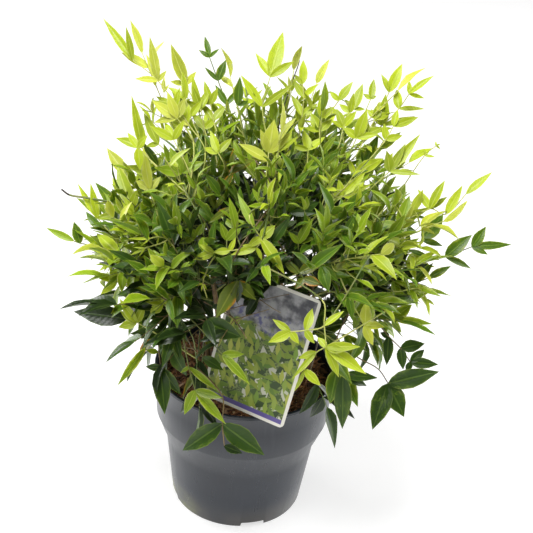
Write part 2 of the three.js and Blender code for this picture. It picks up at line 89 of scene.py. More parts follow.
# The crown's sprays, tier by tier, as the solids have them, and then how each tier is dressed:
# the place of its first twigs, the pairs of leaflets on its twigs from the foot to the tip, the
# length and slimness of its leaflets, and its tone from 0, old and deep green, to 5, young and pale.
# Where its sprays differ, shift makes each one paler or, below 0, darker: partly younger and older
# leaves, and partly painted light and shade, paler on the sprays at the crown's left and right where the
# side lamps fall and darker on those in the front's middle, where the crown's shade falls. kept is the
# share of its leaflets that it carries, and grown is the share of its reach that it grows to.
TIERS = [
    {
        "name": "crest", "rise": 78, "from": 80, "to": 280, "on": "inner", "seat": 0.99,
        "lift": 0.1, "lean": 0.5, "reach": [246, 214],
        "first": 0.2, "pairs": [3, 3, 2, 2, 2, 1, 1, 0, 0], "leaf": 27, "slim": 0.33, "tone": 4.3,
    },
    {
        "name": "top", "rise": 59, "from": 14, "to": 322, "on": "inner", "seat": 0.93,
        "lift": 0.15, "lean": 0.5, "reach": [262, 240, 240, 284, 228, 204, 228],
        "first": 0.18, "pairs": [3, 3, 3, 3, 2, 2, 1, 1, 0, 0], "leaf": 28, "slim": 0.33, "tone": 4.3,
        "shift": [0, 0, 0, 0, -0.2, -0.6, 0],
    },
    {
        "name": "upper", "rise": 36, "from": -4, "to": 315, "on": "outer", "seat": 0.96,
        "lift": 0.22, "lean": 0.4, "reach": [248, 230, 224, 226, 214, 208, 196, 190, 214],
        "first": 0.16, "pairs": [3, 3, 3, 3, 2, 2, 1, 1, 0, 0], "leaf": 33, "slim": 0.34, "tone": 4.0,
        "shift": [0.9, 0, 0, 0, 0.3, 0.5, -0.3, -1.7, 0.5],
        "grown": [0.86, 1, 1, 1, 0.94, 0.92, 1, 1, 1],
    },
    {
        "name": "middle", "rise": 19, "from": -8, "to": 312, "on": "outer", "seat": 0.84,
        "lift": 0.3, "lean": 0.16, "reach": [238, 226, 218, 214, 216, 210, 196, 182, 190],
        "first": 0.2, "pairs": [3, 3, 3, 2, 2, 1, 1, 0, 0], "leaf": 36, "slim": 0.37, "tone": 3.7,
        "shift": [1.1, 0.9, 0, 0, 0.5, 1.0, -0.8, -2.0, 0.3],
        "kept": [0.6, 0.8, 1, 1, 1, 1, 1, 0.8, 0.8],
        "grown": [0.78, 0.84, 1, 1, 0.9, 0.84, 0.92, 1, 0.9],
    },
    {
        "name": "low", "rise": -18, "from": -38, "to": 250, "on": "outer", "seat": 0.66,
        "lift": 0.8, "lean": -0.35, "reach": [166, 178, 180, 176, 166, 158, 150, 164],
        "first": 0.26, "pairs": [2, 2, 1, 1, 0, 0], "leaf": 36, "slim": 0.42, "tone": 2.7,
        "shift": [1.7, 1.5, 0, 0, 0, 1.2, 0.6, -0.8],
        "kept": [0.3, 0.35, 0.7, 1, 1, 0.85, 0.35, 0.15],
        "grown": [0.85, 0.82, 1, 1, 1, 0.88, 0.9, 1],
    },
    # The inner and core tiers' low tones darken the crown's heart: partly older leaves, partly painted shade
    # where the outer sprays shade it.
    {
        "name": "inner", "rise": 60, "from": 60, "to": 300, "on": "inner", "seat": 0.7,
        "lift": 0, "lean": 0.35, "reach": [156, 150, 152],
        "first": 0.16, "pairs": [3, 3, 3, 2, 1, 0], "leaf": 33, "slim": 0.39, "tone": 1.6,
    },
    {
        "name": "core", "rise": 32, "from": 24, "to": 330, "on": "outer", "seat": 0.78,
        "lift": 0, "lean": 0.3, "reach": [134, 128, 130, 132, 138, 140, 138],
        "first": 0.14, "pairs": [3, 3, 3, 2, 1, 0], "leaf": 35, "slim": 0.41, "tone": 0.9,
    },
    {
        "name": "trailing", "rise": -36, "from": -112, "to": -46, "on": "outer", "seat": 0.5,
        "lift": 1.2, "lean": -0.4, "reach": [166, 164],
        "first": 0.6, "pairs": [0, 0], "leaf": 38, "slim": 0.4, "tone": 1.9,
    },
]

# Single shoots that stand out of the crown. foot is where a shoot leaves the thicket, and each part
# is a turn, a length and the leaflets at its end, each with its turn, length and slimness. Turns are
# anticlockwise from the right, as seen from the front and above at the angle SEEN_FROM. A stalk may be
# thicker than the rest, and on a dead one alive is the number of parts that are still green.
SEEN_FROM = 28.3


def shoot(foot, tone, parts, thick=1, alive=0):
    return {"foot": foot, "tone": tone, "parts": parts, "thick": thick, "alive": alive}


SHOOTS = {
    "top_left_long": shoot((-49, -10, 370), 4.6, [
        (125, 28, [(155, 34, 0.2)]),
        (130, 47, [(105, 38, 0.24), (120, 26, 0.24), (180, 20, 0.36), (55, 12, 0.38)]),
        (145, 29, [(130, 47, 0.2), (105, 28, 0.24)]),
    ]),
    "top_left_short": shoot((-51, 20, 360), 4.4, [
        (105, 35, [(105, 33, 0.27), (75, 23, 0.3)]),
        (120, 28, [(115, 37, 0.33), (55, 15, 0.4), (170, 16, 0.34)]),
    ]),
    "top_sprig": shoot((-27, 60, 361), 2.2, [
        (110, 30, [(125, 22, 0.32), (60, 18, 0.34)]),
        (115, 24, [(75, 21, 0.42), (140, 18, 0.28)]),
        (115, 23, [(105, 23, 0.28), (40, 12, 0.4), (150, 12, 0.4)]),
    ]),
    "top_green": shoot((-11, 10, 368), 1.8, [(110, 42, [(90, 25, 0.36), (30, 11, 0.5)])]),
    "top_centre": shoot((7, 0, 374), 4.0, [
        (105, 39, [(130, 33, 0.3), (40, 32, 0.25)]),
        (80, 27, [(80, 46, 0.3), (125, 26, 0.36), (40, 26, 0.32)]),
    ]),
    "top_right_first": shoot((31, 30, 373), 4.0, [
        (85, 23, [(120, 23, 0.34), (45, 19, 0.4)]),
        (90, 17, [(125, 19, 0.34), (45, 18, 0.38)]),
        (100, 12, [(90, 24, 0.36), (135, 12, 0.4)]),
    ]),
    "top_right_second": shoot((56, 50, 368), 4.0, [
        (75, 39, [(60, 22, 0.36), (140, 13, 0.43)]),
        (-25, 16, [(75, 26, 0.37), (135, 13, 0.43), (10, 12, 0.37)]),
    ]),
    "top_right_third": shoot((80, 60, 361), 4.1, [(70, 48, [(85, 20, 0.38), (150, 9, 0.5), (35, 7, 0.5)])]),
    "top_right_fourth": shoot((74, 20, 365), 4.1, [
        (45, 45, [(90, 27, 0.4), (20, 31, 0.2), (130, 18, 0.5)]),
        (50, 21, [(100, 20, 0.46), (5, 23, 0.25)]),
        (60, 16, [(45, 27, 0.27), (90, 14, 0.4), (-10, 15, 0.3)]),
    ]),
    "top_right_fifth": shoot((96, 30, 389), 4.0, [(70, 38, [(70, 29, 0.36), (115, 18, 0.36)])]),
    "top_rosette": shoot((6, -40, 353), 4.9, [
        (90, 26, [(155, 29, 0.37), (175, 15, 0.36)]),
        (90, 7, [(85, 28, 0.54), (115, 21, 0.36), (45, 26, 0.38)]),
    ]),
    "top_mid_left": shoot((-31, -20, 360), 4.1, [
        (115, 16, [(115, 22, 0.36), (55, 19, 0.38), (165, 15, 0.42)]),
    ]),
    "top_mid_right": shoot((39, 0, 358), 4.1, [(85, 18, [(105, 20, 0.45), (45, 20, 0.4), (170, 16, 0.38)])]),
    "top_right_mass": shoot((74, 10, 368), 4.0, [
        (65, 21, [(75, 26, 0.43), (145, 16, 0.5), (15, 19, 0.42)]),
    ]),
    "top_right_low_first": shoot((53, 20, 368), 4.1, [
        (100, 19, [(120, 19, 0.5), (50, 17, 0.46), (175, 15, 0.4)]),
        (85, 12, [(100, 19, 0.42), (50, 15, 0.44)]),
    ]),
    "top_right_low_second": shoot((67, 20, 371), 4.1, [
        (80, 22, [(115, 18, 0.44), (55, 18, 0.48), (160, 13, 0.46)]),
        (70, 14, [(85, 18, 0.4), (145, 13, 0.46)]),
    ]),
    "top_right_low_third": shoot((80, 10, 367), 4.1, [
        (65, 26, [(100, 17, 0.5), (30, 17, 0.5), (150, 14, 0.48)]),
        (65, 17, [(80, 15, 0.52), (25, 15, 0.46), (135, 12, 0.48)]),
    ]),
    "top_right_low_fourth": shoot((94, 0, 372), 4.1, [
        (55, 24, [(100, 15, 0.5), (20, 16, 0.46)]),
        (65, 14, [(25, 24, 0.32), (80, 16, 0.46)]),
    ]),
    "top_left_low_first": shoot((-53, -10, 363), 4.3, [
        (120, 33, [(150, 33, 0.25), (125, 21, 0.34), (85, 20, 0.36)]),
        (125, 18, [(145, 22, 0.33), (80, 19, 0.34), (165, 22, 0.28)]),
    ]),
    "top_left_low_second": shoot((-44, 10, 357), 4.1, [
        (110, 28, [(130, 18, 0.4), (50, 16, 0.46)]),
        (105, 18, [(115, 22, 0.34), (70, 17, 0.38), (160, 17, 0.38)]),
    ]),
    "top_left_low_third": shoot((-60, -30, 357), 4.2, [
        (120, 34, [(155, 23, 0.36), (120, 20, 0.36), (65, 19, 0.38)]),
    ]),
    "top_left_mass_first": shoot((-60, -10, 380), 4.4, [
        (130, 25, [(150, 28, 0.34), (115, 24, 0.38), (75, 20, 0.4), (-170, 22, 0.34)]),
    ]),
    "top_left_mass_second": shoot((-55, 5, 372), 4.3, [
        (115, 26, [(125, 24, 0.4), (60, 18, 0.42), (175, 19, 0.4)]),
        (110, 16, [(100, 24, 0.34), (145, 20, 0.36)]),
    ]),
    "top_left_mass_third": shoot((-40, 20, 365), 4.2, [
        (105, 24, [(130, 20, 0.38), (60, 18, 0.42)]),
        (105, 15, [(110, 22, 0.34), (70, 16, 0.42), (160, 15, 0.4)]),
    ]),
    "left_lime_second": shoot((-87, -20, 304), 4.3, [
        (110, 30, [(105, 37, 0.28), (150, 18, 0.4), (60, 16, 0.42)]),
    ]),
    "left_lime_third": shoot((-85, 10, 322), 4.0, [
        (135, 22, [(120, 26, 0.36), (170, 22, 0.38), (60, 18, 0.42)]),
    ]),
    "left_green_star": shoot((-58, -30, 350), 3.0, [
        (140, 12, [(120, 24, 0.45), (35, 22, 0.45), (175, 24, 0.42), (80, 18, 0.4)]),
    ]),
    "left_pale_low": shoot((-98, -10, 360), 4.7, [
        (140, 14, [(-80, 20, 0.5), (130, 17, 0.4), (60, 14, 0.45)]),
    ]),
    "left_low_second": shoot((-108, -20, 236), 4.2, [
        (170, 16, [(165, 26, 0.34), (120, 18, 0.42), (-140, 20, 0.4)]),
    ]),
    "inside_left": shoot((-34, -25, 214), 0.7, [
        (90, 8, [(170, 32, 0.5), (120, 30, 0.48), (60, 30, 0.5), (20, 26, 0.48)]),
    ]),
    "inside_left_high": shoot((-47, -15, 229), 0.9, [
        (100, 8, [(150, 30, 0.5), (80, 28, 0.5), (10, 30, 0.48)]),
    ]),
    "inside_right": shoot((66, -25, 196), 1.1, [
        (90, 8, [(100, 34, 0.5), (30, 30, 0.5), (150, 30, 0.48), (-20, 26, 0.5)]),
    ]),
    "inside_right_high": shoot((52, -10, 231), 0.9, [
        (90, 8, [(60, 28, 0.5), (120, 28, 0.5), (0, 24, 0.5), (180, 24, 0.48)]),
    ]),
    "tiny_sprout": shoot((105, 0, 310), 4.2, [
        (55, 37, []),
        (60, 42, [(95, 7, 0.3), (50, 7, 0.3), (0, 10, 0.3)]),
        (45, 14, [(-30, 6, 0.3), (100, 5, 0.4), (30, 5, 0.35)]),
    ]),
    "right_cluster": shoot((86, -10, 337), 3.9, [
        (45, 40, [(55, 44, 0.23), (65, 29, 0.27), (0, 27, 0.22), (100, 19, 0.55)]),
    ]),
    "right_lime_blade": shoot((63, -20, 340), 4.0, [
        (50, 31, [(40, 34, 0.36), (115, 16, 0.35), (-5, 15, 0.36)]),
    ]),
    "right_lime_star": shoot((53, -50, 334), 4.2, [
        (50, 30, [(110, 14, 0.52), (50, 29, 0.3), (-165, 14, 0.52), (5, 15, 0.47)]),
    ]),
    "right_green": shoot((82, 10, 338), 2.0, [(65, 27, [(70, 29, 0.38), (110, 13, 0.47)])]),
    "right_lime": shoot((116, -10, 305), 4.0, [
        (35, 48, [(70, 29, 0.33), (40, 22, 0.27), (125, 21, 0.36)]),
        (-15, 15, [(65, 30, 0.3)]),
        (50, 26, [(45, 32, 0.28), (35, 15, 0.25)]),
    ]),
    "right_middle": shoot((102, -20, 309), 3.4, [(20, 27, [(75, 31, 0.42), (170, 20, 0.44)])]),
    "far_right": shoot((113, 0, 262), 2.2, [
        (20, 23, []),
        (15, 44, [(45, 32, 0.4), (-15, 30, 0.26)]),
        (25, 27, [(60, 23, 0.48), (10, 37, 0.24), (-20, 16, 0.4)]),
    ]),
    "right_ovate": shoot((113, -10, 261), 2.0, [
        (30, 21, []),
        (60, 20, [(95, 21, 0.28), (-10, 21, 0.28)]),
        (40, 16, [(55, 33, 0.48), (-10, 19, 0.36)]),
    ]),
    "right_narrow": shoot((87, -15, 297), 2.4, [(-10, 14, [(-15, 40, 0.2), (20, 16, 0.34)])]),
    "right_arching": shoot((104, -20, 251), 2.0, [
        (5, 25, []),
        (25, 21, [(50, 27, 0.34)]),
        (25, 15, [(35, 23, 0.36)]),
    ]),
    "right_small_sprout": shoot((127, -40, 265), 4.1, [
        (10, 23, [(5, 12, 0.25), (75, 5, 0.37)]),
        (-45, 12, [(-75, 16, 0.24), (-35, 9, 0.3)]),
    ]),
    "right_lime_tuft": shoot((85, -95, 284), 4.6, [
        (-55, 25, [(90, 21, 0.48), (0, 17, 0.52), (-65, 19, 0.46)]),
    ]),
    "right_yellow": shoot((114, -40, 236), 3.2, [(0, 16, [(40, 23, 0.52), (0, 37, 0.25), (-50, 16, 0.4)])]),
    "right_round": shoot((113, -50, 240), 1.2, [
        (-45, 20, [(-90, 26, 0.4), (160, 9, 0.7)]),
        (-40, 15, [(-80, 19, 0.5), (15, 23, 0.52)]),
        (-50, 15, [(0, 25, 0.42), (45, 18, 0.5), (-105, 10, 0.7)]),
    ]),
    "right_low": shoot((89, -60, 217), 0.9, [
        (-40, 16, []),
        (-25, 21, []),
        (-50, 16, [(20, 45, 0.4), (-105, 44, 0.42), (-60, 33, 0.54)]),
    ]),
    "rim_right": shoot((77, -95, 238), 0.9, [(-70, 27, [(-85, 48, 0.36), (-20, 25, 0.4), (0, 31, 0.3)])]),
    "front_lime": shoot((59, -136, 305), 4.2, [
        (-80, 21, [(40, 20, 0.34)]),
        (-80, 17, [(5, 28, 0.3), (-30, 40, 0.3), (-60, 28, 0.32), (-10, 16, 0.5), (135, 11, 0.54)]),
    ]),
    "front_lime_arm": shoot((63, -142, 285), 4.2, [
        (-160, 16, [(75, 20, 0.42), (-50, 13, 0.55)]),
        (-170, 12, [(-150, 20, 0.46), (150, 18, 0.38), (-50, 12, 0.54)]),
    ]),
    "front_lime_tuft": shoot((67, -140, 264), 4.4, [
        (-145, 10, [(-130, 28, 0.2), (-160, 16, 0.42)]),
        (-120, 17, [(-40, 19, 0.43), (-105, 22, 0.2)]),
    ]),
    "front_bright": shoot((-5, -90, 353), 4.2, [
        (-60, 21, [(-50, 35, 0.32), (-140, 13, 0.55), (45, 16, 0.6)]),
    ]),
    "front_hook": shoot((7, -98, 335), 4.1, [
        (-120, 8, [(-160, 22, 0.35), (175, 13, 0.37), (-60, 12, 0.35)]),
    ]),
    "front_row": shoot((-6, -95, 326), 3.9, [
        (-160, 14, [(-170, 14, 0.48), (70, 12, 0.41)]),
        (-170, 13, [(-155, 18, 0.4), (155, 14, 0.36)]),
    ]),
    "front_small_pair": shoot((-21, -92, 320), 3.0, [(100, 8, [(115, 16, 0.42), (50, 19, 0.43)])]),
    "hanging_stem": shoot((-55, -95, 237), 3.0, [
        (-75, 30, [(-35, 33, 0.22), (-140, 9, 0.4)]),
        (-70, 21, [(-110, 24, 0.42), (-45, 40, 0.27), (-10, 25, 0.33)]),
    ]),
    "front_pair": shoot((-17, -103, 181), 0.5, [
        (-85, 25, [(-140, 47, 0.4), (-35, 49, 0.39)]),
        (-80, 20, [(-20, 18, 0.44)]),
    ]),
    "rim_left": shoot((-78, -70, 207), 1.0, [
        (-80, 21, [(-80, 41, 0.36), (-50, 32, 0.33), (180, 14, 0.55)]),
    ]),
    "left_big": shoot((-78, -20, 211), 0.4, [(-165, 37, [(175, 49, 0.4)])]),
    "left_low_lime": shoot((-67, -88, 223), 4.4, [
        (155, 33, [(-160, 17, 0.54), (130, 25, 0.36), (150, 18, 0.42), (70, 17, 0.48)]),
    ]),
    "left_low_narrow": shoot((-77, -50, 200), 3.2, [
        (-150, 17, [(-120, 41, 0.22)]),
        (-15, 12, [(175, 11, 0.49)]),
    ]),
    "left_low_green": shoot((-63, -70, 208), 1.3, [
        (145, 16, [(-175, 28, 0.46), (-70, 26, 0.42), (85, 22, 0.36)]),
    ]),
    "left_trio": shoot((-49, -92, 238), 3.9, [(140, 33, [(155, 33, 0.4), (-145, 15, 0.7), (65, 14, 0.6)])]),
    "left_heart": shoot((-44, -75, 333), 3.4, [(-80, 11, [(-90, 13, 0.66)])]),
    "left_fork": shoot((-47, -45, 293), 3.0, [
        (110, 13, [(60, 15, 0.48), (150, 13, 0.55), (-150, 17, 0.5)]),
    ]),
    "far_left": shoot((-96, 0, 252), 2.3, [
        (165, 35, [(120, 29, 0.35)]),
        (175, 33, [(110, 21, 0.48)]),
        (165, 6, [(160, 35, 0.27)]),
    ]),
    "left_lime_high": shoot((-116, 0, 257), 4.2, [
        (135, 25, [(-40, 10, 0.7)]),
        (135, 20, [(125, 38, 0.21), (105, 33, 0.25), (20, 19, 0.4)]),
    ]),
    "left_lime_middle": shoot((-95, -10, 285), 4.1, [(130, 31, [(115, 44, 0.3), (75, 17, 0.49)])]),
    "left_green_middle": shoot((-63, -20, 293), 3.0, [(130, 26, [(110, 35, 0.38)])]),
    "left_upper": shoot((-89, 0, 346), 4.5, [(135, 26, [(105, 47, 0.2), (160, 27, 0.34), (95, 23, 0.36)])]),
    "left_upper_inner": shoot((-67, -5, 350), 4.1, [(140, 33, [(120, 31, 0.3), (-170, 12, 0.46)])]),
    "curly_left": shoot((-62, -60, 291), 4.3, [
        (130, 19, [(-65, 7, 0.36), (140, 9, 0.22), (45, 9, 0.22)]),
        (165, 9, [(140, 10, 0.2), (-100, 9, 0.2)]),
        (-165, 8, [(-175, 19, 0.16), (145, 10, 0.2), (-135, 11, 0.18)]),
    ]),
    "curly_left_low": shoot((-74, -62, 309), 4.3, [
        (-155, 21, [(-150, 15, 0.2), (180, 10, 0.2), (-120, 9, 0.2)]),
    ]),
    "unfolding_tuft": shoot((-31, -85, 309), 3.9, [
        (-115, 17, [(165, 6, 0.27), (-30, 7, 0.25), (-120, 6, 0.27)]),
        (-100, 8, [(-155, 7, 0.25), (-55, 7, 0.25), (-100, 8, 0.22)]),
        (-70, 13, []),
    ]),
    "centre_green_up": shoot((24, -50, 302), 1.6, [
        (95, 19, [(95, 32, 0.33), (125, 31, 0.22), (30, 16, 0.4)]),
    ]),
    "centre_dark": shoot((21, -55, 329), 1.2, [(55, 13, [(25, 30, 0.38), (5, 24, 0.3)])]),
    "centre_pale_up": shoot((2, -85, 328), 3.4, [(105, 10, [(120, 33, 0.24), (25, 15, 0.44)])]),
    "centre_pale_left": shoot((-13, -88, 328), 3.3, [(105, 9, [(105, 26, 0.3), (145, 18, 0.3)])]),
    "centre_fork": shoot((40, -70, 306), 2.6, [(100, 13, [(65, 24, 0.37), (135, 13, 0.47), (25, 17, 0.4)])]),
    "right_centre_hanging": shoot((73, -60, 300), 2.2, [
        (-50, 14, [(-50, 17, 0.45), (-110, 14, 0.5), (0, 15, 0.42)]),
    ]),
    "green_hanging": shoot((57, -88, 323), 2.2, [(-85, 12, [(-70, 22, 0.5), (-35, 20, 0.38)])]),
    "over_card_dark": shoot((-48, -105, 262), 0.8, [(-20, 13, [(-20, 33, 0.56)])]),
    "over_card_green": shoot((-42, -112, 257), 3.0, [(-45, 33, [(-40, 34, 0.26), (5, 19, 0.4)])]),
    "over_card_low": shoot((-47, -105, 232), 0.8, [(-40, 15, [(-25, 21, 0.45)])]),
}

# Shoots whose leaves have turned, with an orange edge.
TURNED_SHOOTS = {
    "turned_over_card": shoot((-16, -110, 318), 2.0, [(-70, 16, [(-115, 35, 0.44), (-40, 22, 0.46)])]),
    "turned_middle": shoot((-17, -70, 342), 2.0, [(120, 7, [(-145, 26, 0.28)])]),
    "turned_centre": shoot((-5, -60, 331), 2.0, [(90, 9, [(-10, 18, 0.34)])]),
    "turned_right": shoot((32, -85, 310), 2.0, [
        (-45, 12, [(30, 22, 0.5), (150, 17, 0.44)]),
        (-50, 6, [(-15, 16, 0.56), (-125, 12, 0.58)]),
    ]),
}
# Bare stalks whose leaflets have dropped.
DEAD_STALKS = {
    "left_with_black_tip": shoot((-118, 20, 299), 3.0, [
        (175, 44, []),
        (175, 14, []),
        (150, 9, []),
    ], thick=1.8, alive=2),
    "top_thin": shoot((12, 30, 377), 2.0, [(80, 42, []), (75, 27, []), (125, 4, [])]),
}
SHOOT = {
    "radius": 0.7, "tip_radius": 0.45, "nearest": 12, "farthest": 110, "turn_cost": 40, "roots": 200,
    "steps": 5, "wander": 0.12, "foot_darker": 1.5, "darker": 0.6,
}
SPRAY = {
    "stalk_radius": 0.85, "tip_radius": 0.4, "clear_radius": 1.3, "seat_step": 0.05,
    "lower_seats": [0, 0.04, 0.08, 0.12], "extra_lifts": [0, 0.12, 0.24, 0.36, 0.48],
    "jitter": 4, "first_roll": 40, "roll": 48, "tries": 4, "own": {"shift": 0, "kept": 1, "grown": 1},
}
# Towards its tip a spray opens up: where that starts, and the share of its twigs that is left out.
OPENING = {"from": 0.62, "left_out": 0.4}
TWIG = {"radius": 0.5, "tip_radius": 0.28, "angle": 54, "spacing": 18, "beyond": 9, "shorter": 0.14}
LEAFLET = {
    "angle": 44, "thick": 0.4, "sunk": 0.6, "tip_overhang": 0.92, "wave": 0.05,
    "smaller": 0.07, "size_spread": 0.16, "slim_spread": 0.13, "loose": 0.16, "looser": 0.14,
}
# A leaflet's fold along its midrib, its arch and its twist, each with how much it varies.
GROWN_LEAFLET = {"fold": (26, 13), "arch": (24, 22), "twist": 30}
SHOOT_LEAFLET = {"fold": (18, 12), "arch": (10, 14), "twist": 18, "depth": 0.3, "deeper": 0.12, "tries": 8}
# A leaflet's tone rises along its spray and with its height, where its growth is younger, and towards
# the crown's left and right as seen from the front, which is painted light where the side lamps fall.
YOUTH_AND_SIDE_LIGHT = {
    "along": 3.1, "along_from": 0.76, "up": 1.1, "up_from": 300, "up_over": 120,
    "aside": 1.2, "middle": 10, "aside_from": 70, "aside_over": 80, "tip": 0.5,
}
# The most of a leaflet that may lie in filled cells, or stand in front of what is kept in view.
MOST = {"crowded": 0.34, "hiding": 0.17}
# The room round the solids' box that the space for growth takes in, and how far past the box a leaflet
# on a spray or on a shoot may reach.
ROOM = {"margin": 10, "spray": 2, "shoot": 8}
LIMB_MARGIN = 1.4
RIM_MARGIN = 3
CELL = 2.6
SEED = 63

# ---- Small helpers ----


def seeded(seed):
    state = seed

    def draw():
        nonlocal state
        state = state * 16807 % 2147483647
        return state / 2147483647

    return draw


def spread(draw, amount):
    return (2 * draw() - 1) * amount


def lerp(a, b, share):
    return a + (b - a) * share


def unit(vector):
    return vector / max(np.linalg.norm(vector), 1e-9)


def heading(azimuth, rise):
    a, r = math.radians(azimuth), math.radians(rise)
    return np.array([math.cos(r) * math.cos(a), math.cos(r) * math.sin(a), math.sin(r)])


def turned_about(vector, axis, degrees):
    """The vector, turned about a unit axis."""
    turn = math.radians(degrees)
    across = np.cross(axis, vector)
    return (vector * math.cos(turn) + across * math.sin(turn)
            + axis * axis.dot(vector) * (1 - math.cos(turn)))


def random_direction(draw):
    return np.array([spread(draw, 1), spread(draw, 1), spread(draw, 1)])


class Bend:
    """A curve from one point to another that a third one pulls aside."""

    def __init__(self, start, pull, end):
        self.start, self.pull, self.end = start, pull, end

    def point(self, t):
        return (1 - t) ** 2 * self.start + 2 * t * (1 - t) * self.pull + t ** 2 * self.end

    def tangent(self, t):
        return unit((1 - t) * (self.pull - self.start) + t * (self.end - self.pull))

    def points(self, steps, first=0, last=1):
        return np.array([self.point(lerp(first, last, k / steps)) for k in range(steps + 1)])

    def length(self):
        return np.linalg.norm(np.diff(self.points(200), axis=0), axis=1).sum()


def distance_to_line(points, line):
    """How far each point lies from a row of joined straight lines."""
    starts, steps = line[:-1], np.diff(line, axis=0)
    away = np.asarray(points)[:, None] - starts
    share = np.clip((away * steps).sum(2) / (steps ** 2).sum(1), 0, 1)
    return np.linalg.norm(away - share[..., None] * steps, axis=2).min(1)


def linear(red, green, blue):
    """A screen colour from 0 to 255, as the linear colour that a shader takes."""
    parts = [c / 255 for c in (red, green, blue)]
    return tuple(c / 12.92 if c <= 0.04045 else ((c + 0.055) / 1.055) ** 2.4 for c in parts) + (1,)


# ---- Camera, light and floor ----

CAMERA = {"place": (12.4, -923.2, 755.2), "down": 28.32, "roll": -4.83, "lens": 76.36}
AREA_LIGHTS = {
    "above": {"place": (-0.45, -0.6, 2.6), "size": 1.3, "power": 84},
    "front": {"place": (-0.9, -2.2, 1.5), "size": 1.0, "power": 7},
    "left_side": {"place": (-1.8, 0.9, 0.5), "size": 1.5, "power": 48},
    "right_side": {"place": (1.8, 0.8, 0.5), "size": 1.5, "power": 41},
}


def add_camera():
    down, roll = math.radians(CAMERA["down"]), math.radians(CAMERA["roll"])
    forward = Vector((0, math.cos(down), -math.sin(down)))
    level = Vector((1, 0, 0))
    upright = level.cross(forward)
    right = level * math.cos(roll) - upright * math.sin(roll)
    top = level * math.sin(roll) + upright * math.cos(roll)
    data = bpy.data.cameras.new("camera")
    data.sensor_width = 36
    data.lens = CAMERA["lens"]
    data.clip_start = 0.05
    data.clip_end = 30
    camera = bpy.data.objects.new("camera", data)
    bpy.context.scene.collection.objects.link(camera)
    turn = Matrix((right, top, -forward)).transposed().to_4x4()
    camera.matrix_world = Matrix.Translation(Vector(CAMERA["place"]) * MM) @ turn
    bpy.context.scene.camera = camera


def add_lights():
    world = bpy.data.worlds.new("studio")
    world.use_nodes = True
    background = world.node_tree.nodes["Background"]
    background.inputs["Color"].default_value = (1, 0.99, 0.985, 1)
    background.inputs["Strength"].default_value = 0.18
    bpy.context.scene.world = world
    for name, light in AREA_LIGHTS.items():
        data = bpy.data.lights.new(name, "AREA")
        data.shape = "DISK"
        data.size = light["size"]
        data.energy = light["power"]
        lamp = bpy.data.objects.new(name, data)
        bpy.context.scene.collection.objects.link(lamp)
        lamp.location = light["place"]
        aim = Vector((0, 0, 0.22)) - lamp.location
        lamp.rotation_euler = aim.to_track_quat("-Z", "Y").to_euler()
    bpy.context.scene.view_settings.view_transform = "Standard"


def add_floor():
    deselect()
    bpy.ops.mesh.primitive_plane_add(size=14, location=(0, 0, 0))
    floor = bpy.context.object
    floor.name = "floor"
    look = Finish("white_table")
    look.shade({"Base Color": (0.45, 0.448, 0.446, 1), "Roughness": 0.6,
                "Emission Color": (1, 1, 1, 1), "Emission Strength": 0.66})
    floor.data.materials.append(look.material)


# ---- Finishes ----


class Finish:
    """A material while it is made, and the nodes that its colour and relief are worked out with."""

    def __init__(self, name):
        self.material = bpy.data.materials.new(name)
        self.material.use_nodes = True
        self.tree = self.material.node_tree
        self.shader = self.tree.nodes["Principled BSDF"]

    def feed(self, socket, value):
        """Links a socket from another one, or gives it a value. Three numbers are a screen colour."""
        if isinstance(value, bpy.types.NodeSocket):
            self.tree.links.new(value, socket)
        elif socket.type == "RGBA" and len(value) == 3:
            socket.default_value = linear(*value)
        else:
            socket.default_value = value

    def shade(self, values):
        for key, value in values.items():
            self.feed(self.shader.inputs[key], value)

    def node(self, kind, inputs=(), **settings):
        node = self.tree.nodes.new("ShaderNode" + kind)
        for key, value in settings.items():
            setattr(node, key, value)
        for key, value in dict(inputs).items():
            self.feed(node.inputs[key], value)
        return node

    def math(self, operation, *values):
        return self.node("Math", dict(enumerate(values)), operation=operation).outputs[0]

    def times(self, first, second):
        return self.math("MULTIPLY", first, second)

    def over(self, value, low, high, kind="SMOOTHSTEP"):
        """0 where a value is under low and 1 where it is over high."""
        return self.node("MapRange", {0: value, 1: low, 2: high}, interpolation_type=kind).outputs[0]

    def under(self, value, low, high):
        """1 where a value is under low and 0 where it is over high."""
        return self.math("SUBTRACT", 1.0, self.over(value, low, high))

    def blend(self, share, first, second):
        """A colour between two colours."""
        return self.node("Mix", {0: share, 6: first, 7: second}, data_type="RGBA").outputs[2]

    def noise(self, place, scale, detail=3):
        settings = {"Vector": place, "Scale": scale, "Detail": detail, "Roughness": 0.55}
        return self.node("TexNoise", settings).outputs[0]

    def place(self):
        return self.node("TexCoord").outputs["Object"]

    def scaled(self, place, scale):
        return self.node("Mapping", {"Vector": place, "Scale": scale}).outputs[0]

    def parts(self, place):
        return self.node("SeparateXYZ", {0: place}).outputs

    def finished(self, colour, rough, relief, strength, distance):
        """The material, with its colour, its roughness and a relief of a strength and a depth."""
        skin = self.node("Bump", {"Height": relief, "Strength": strength, "Distance": distance})
        self.shade({"Base Color": colour, "Roughness": rough, "Normal": skin.outputs[0]})
        return self.material


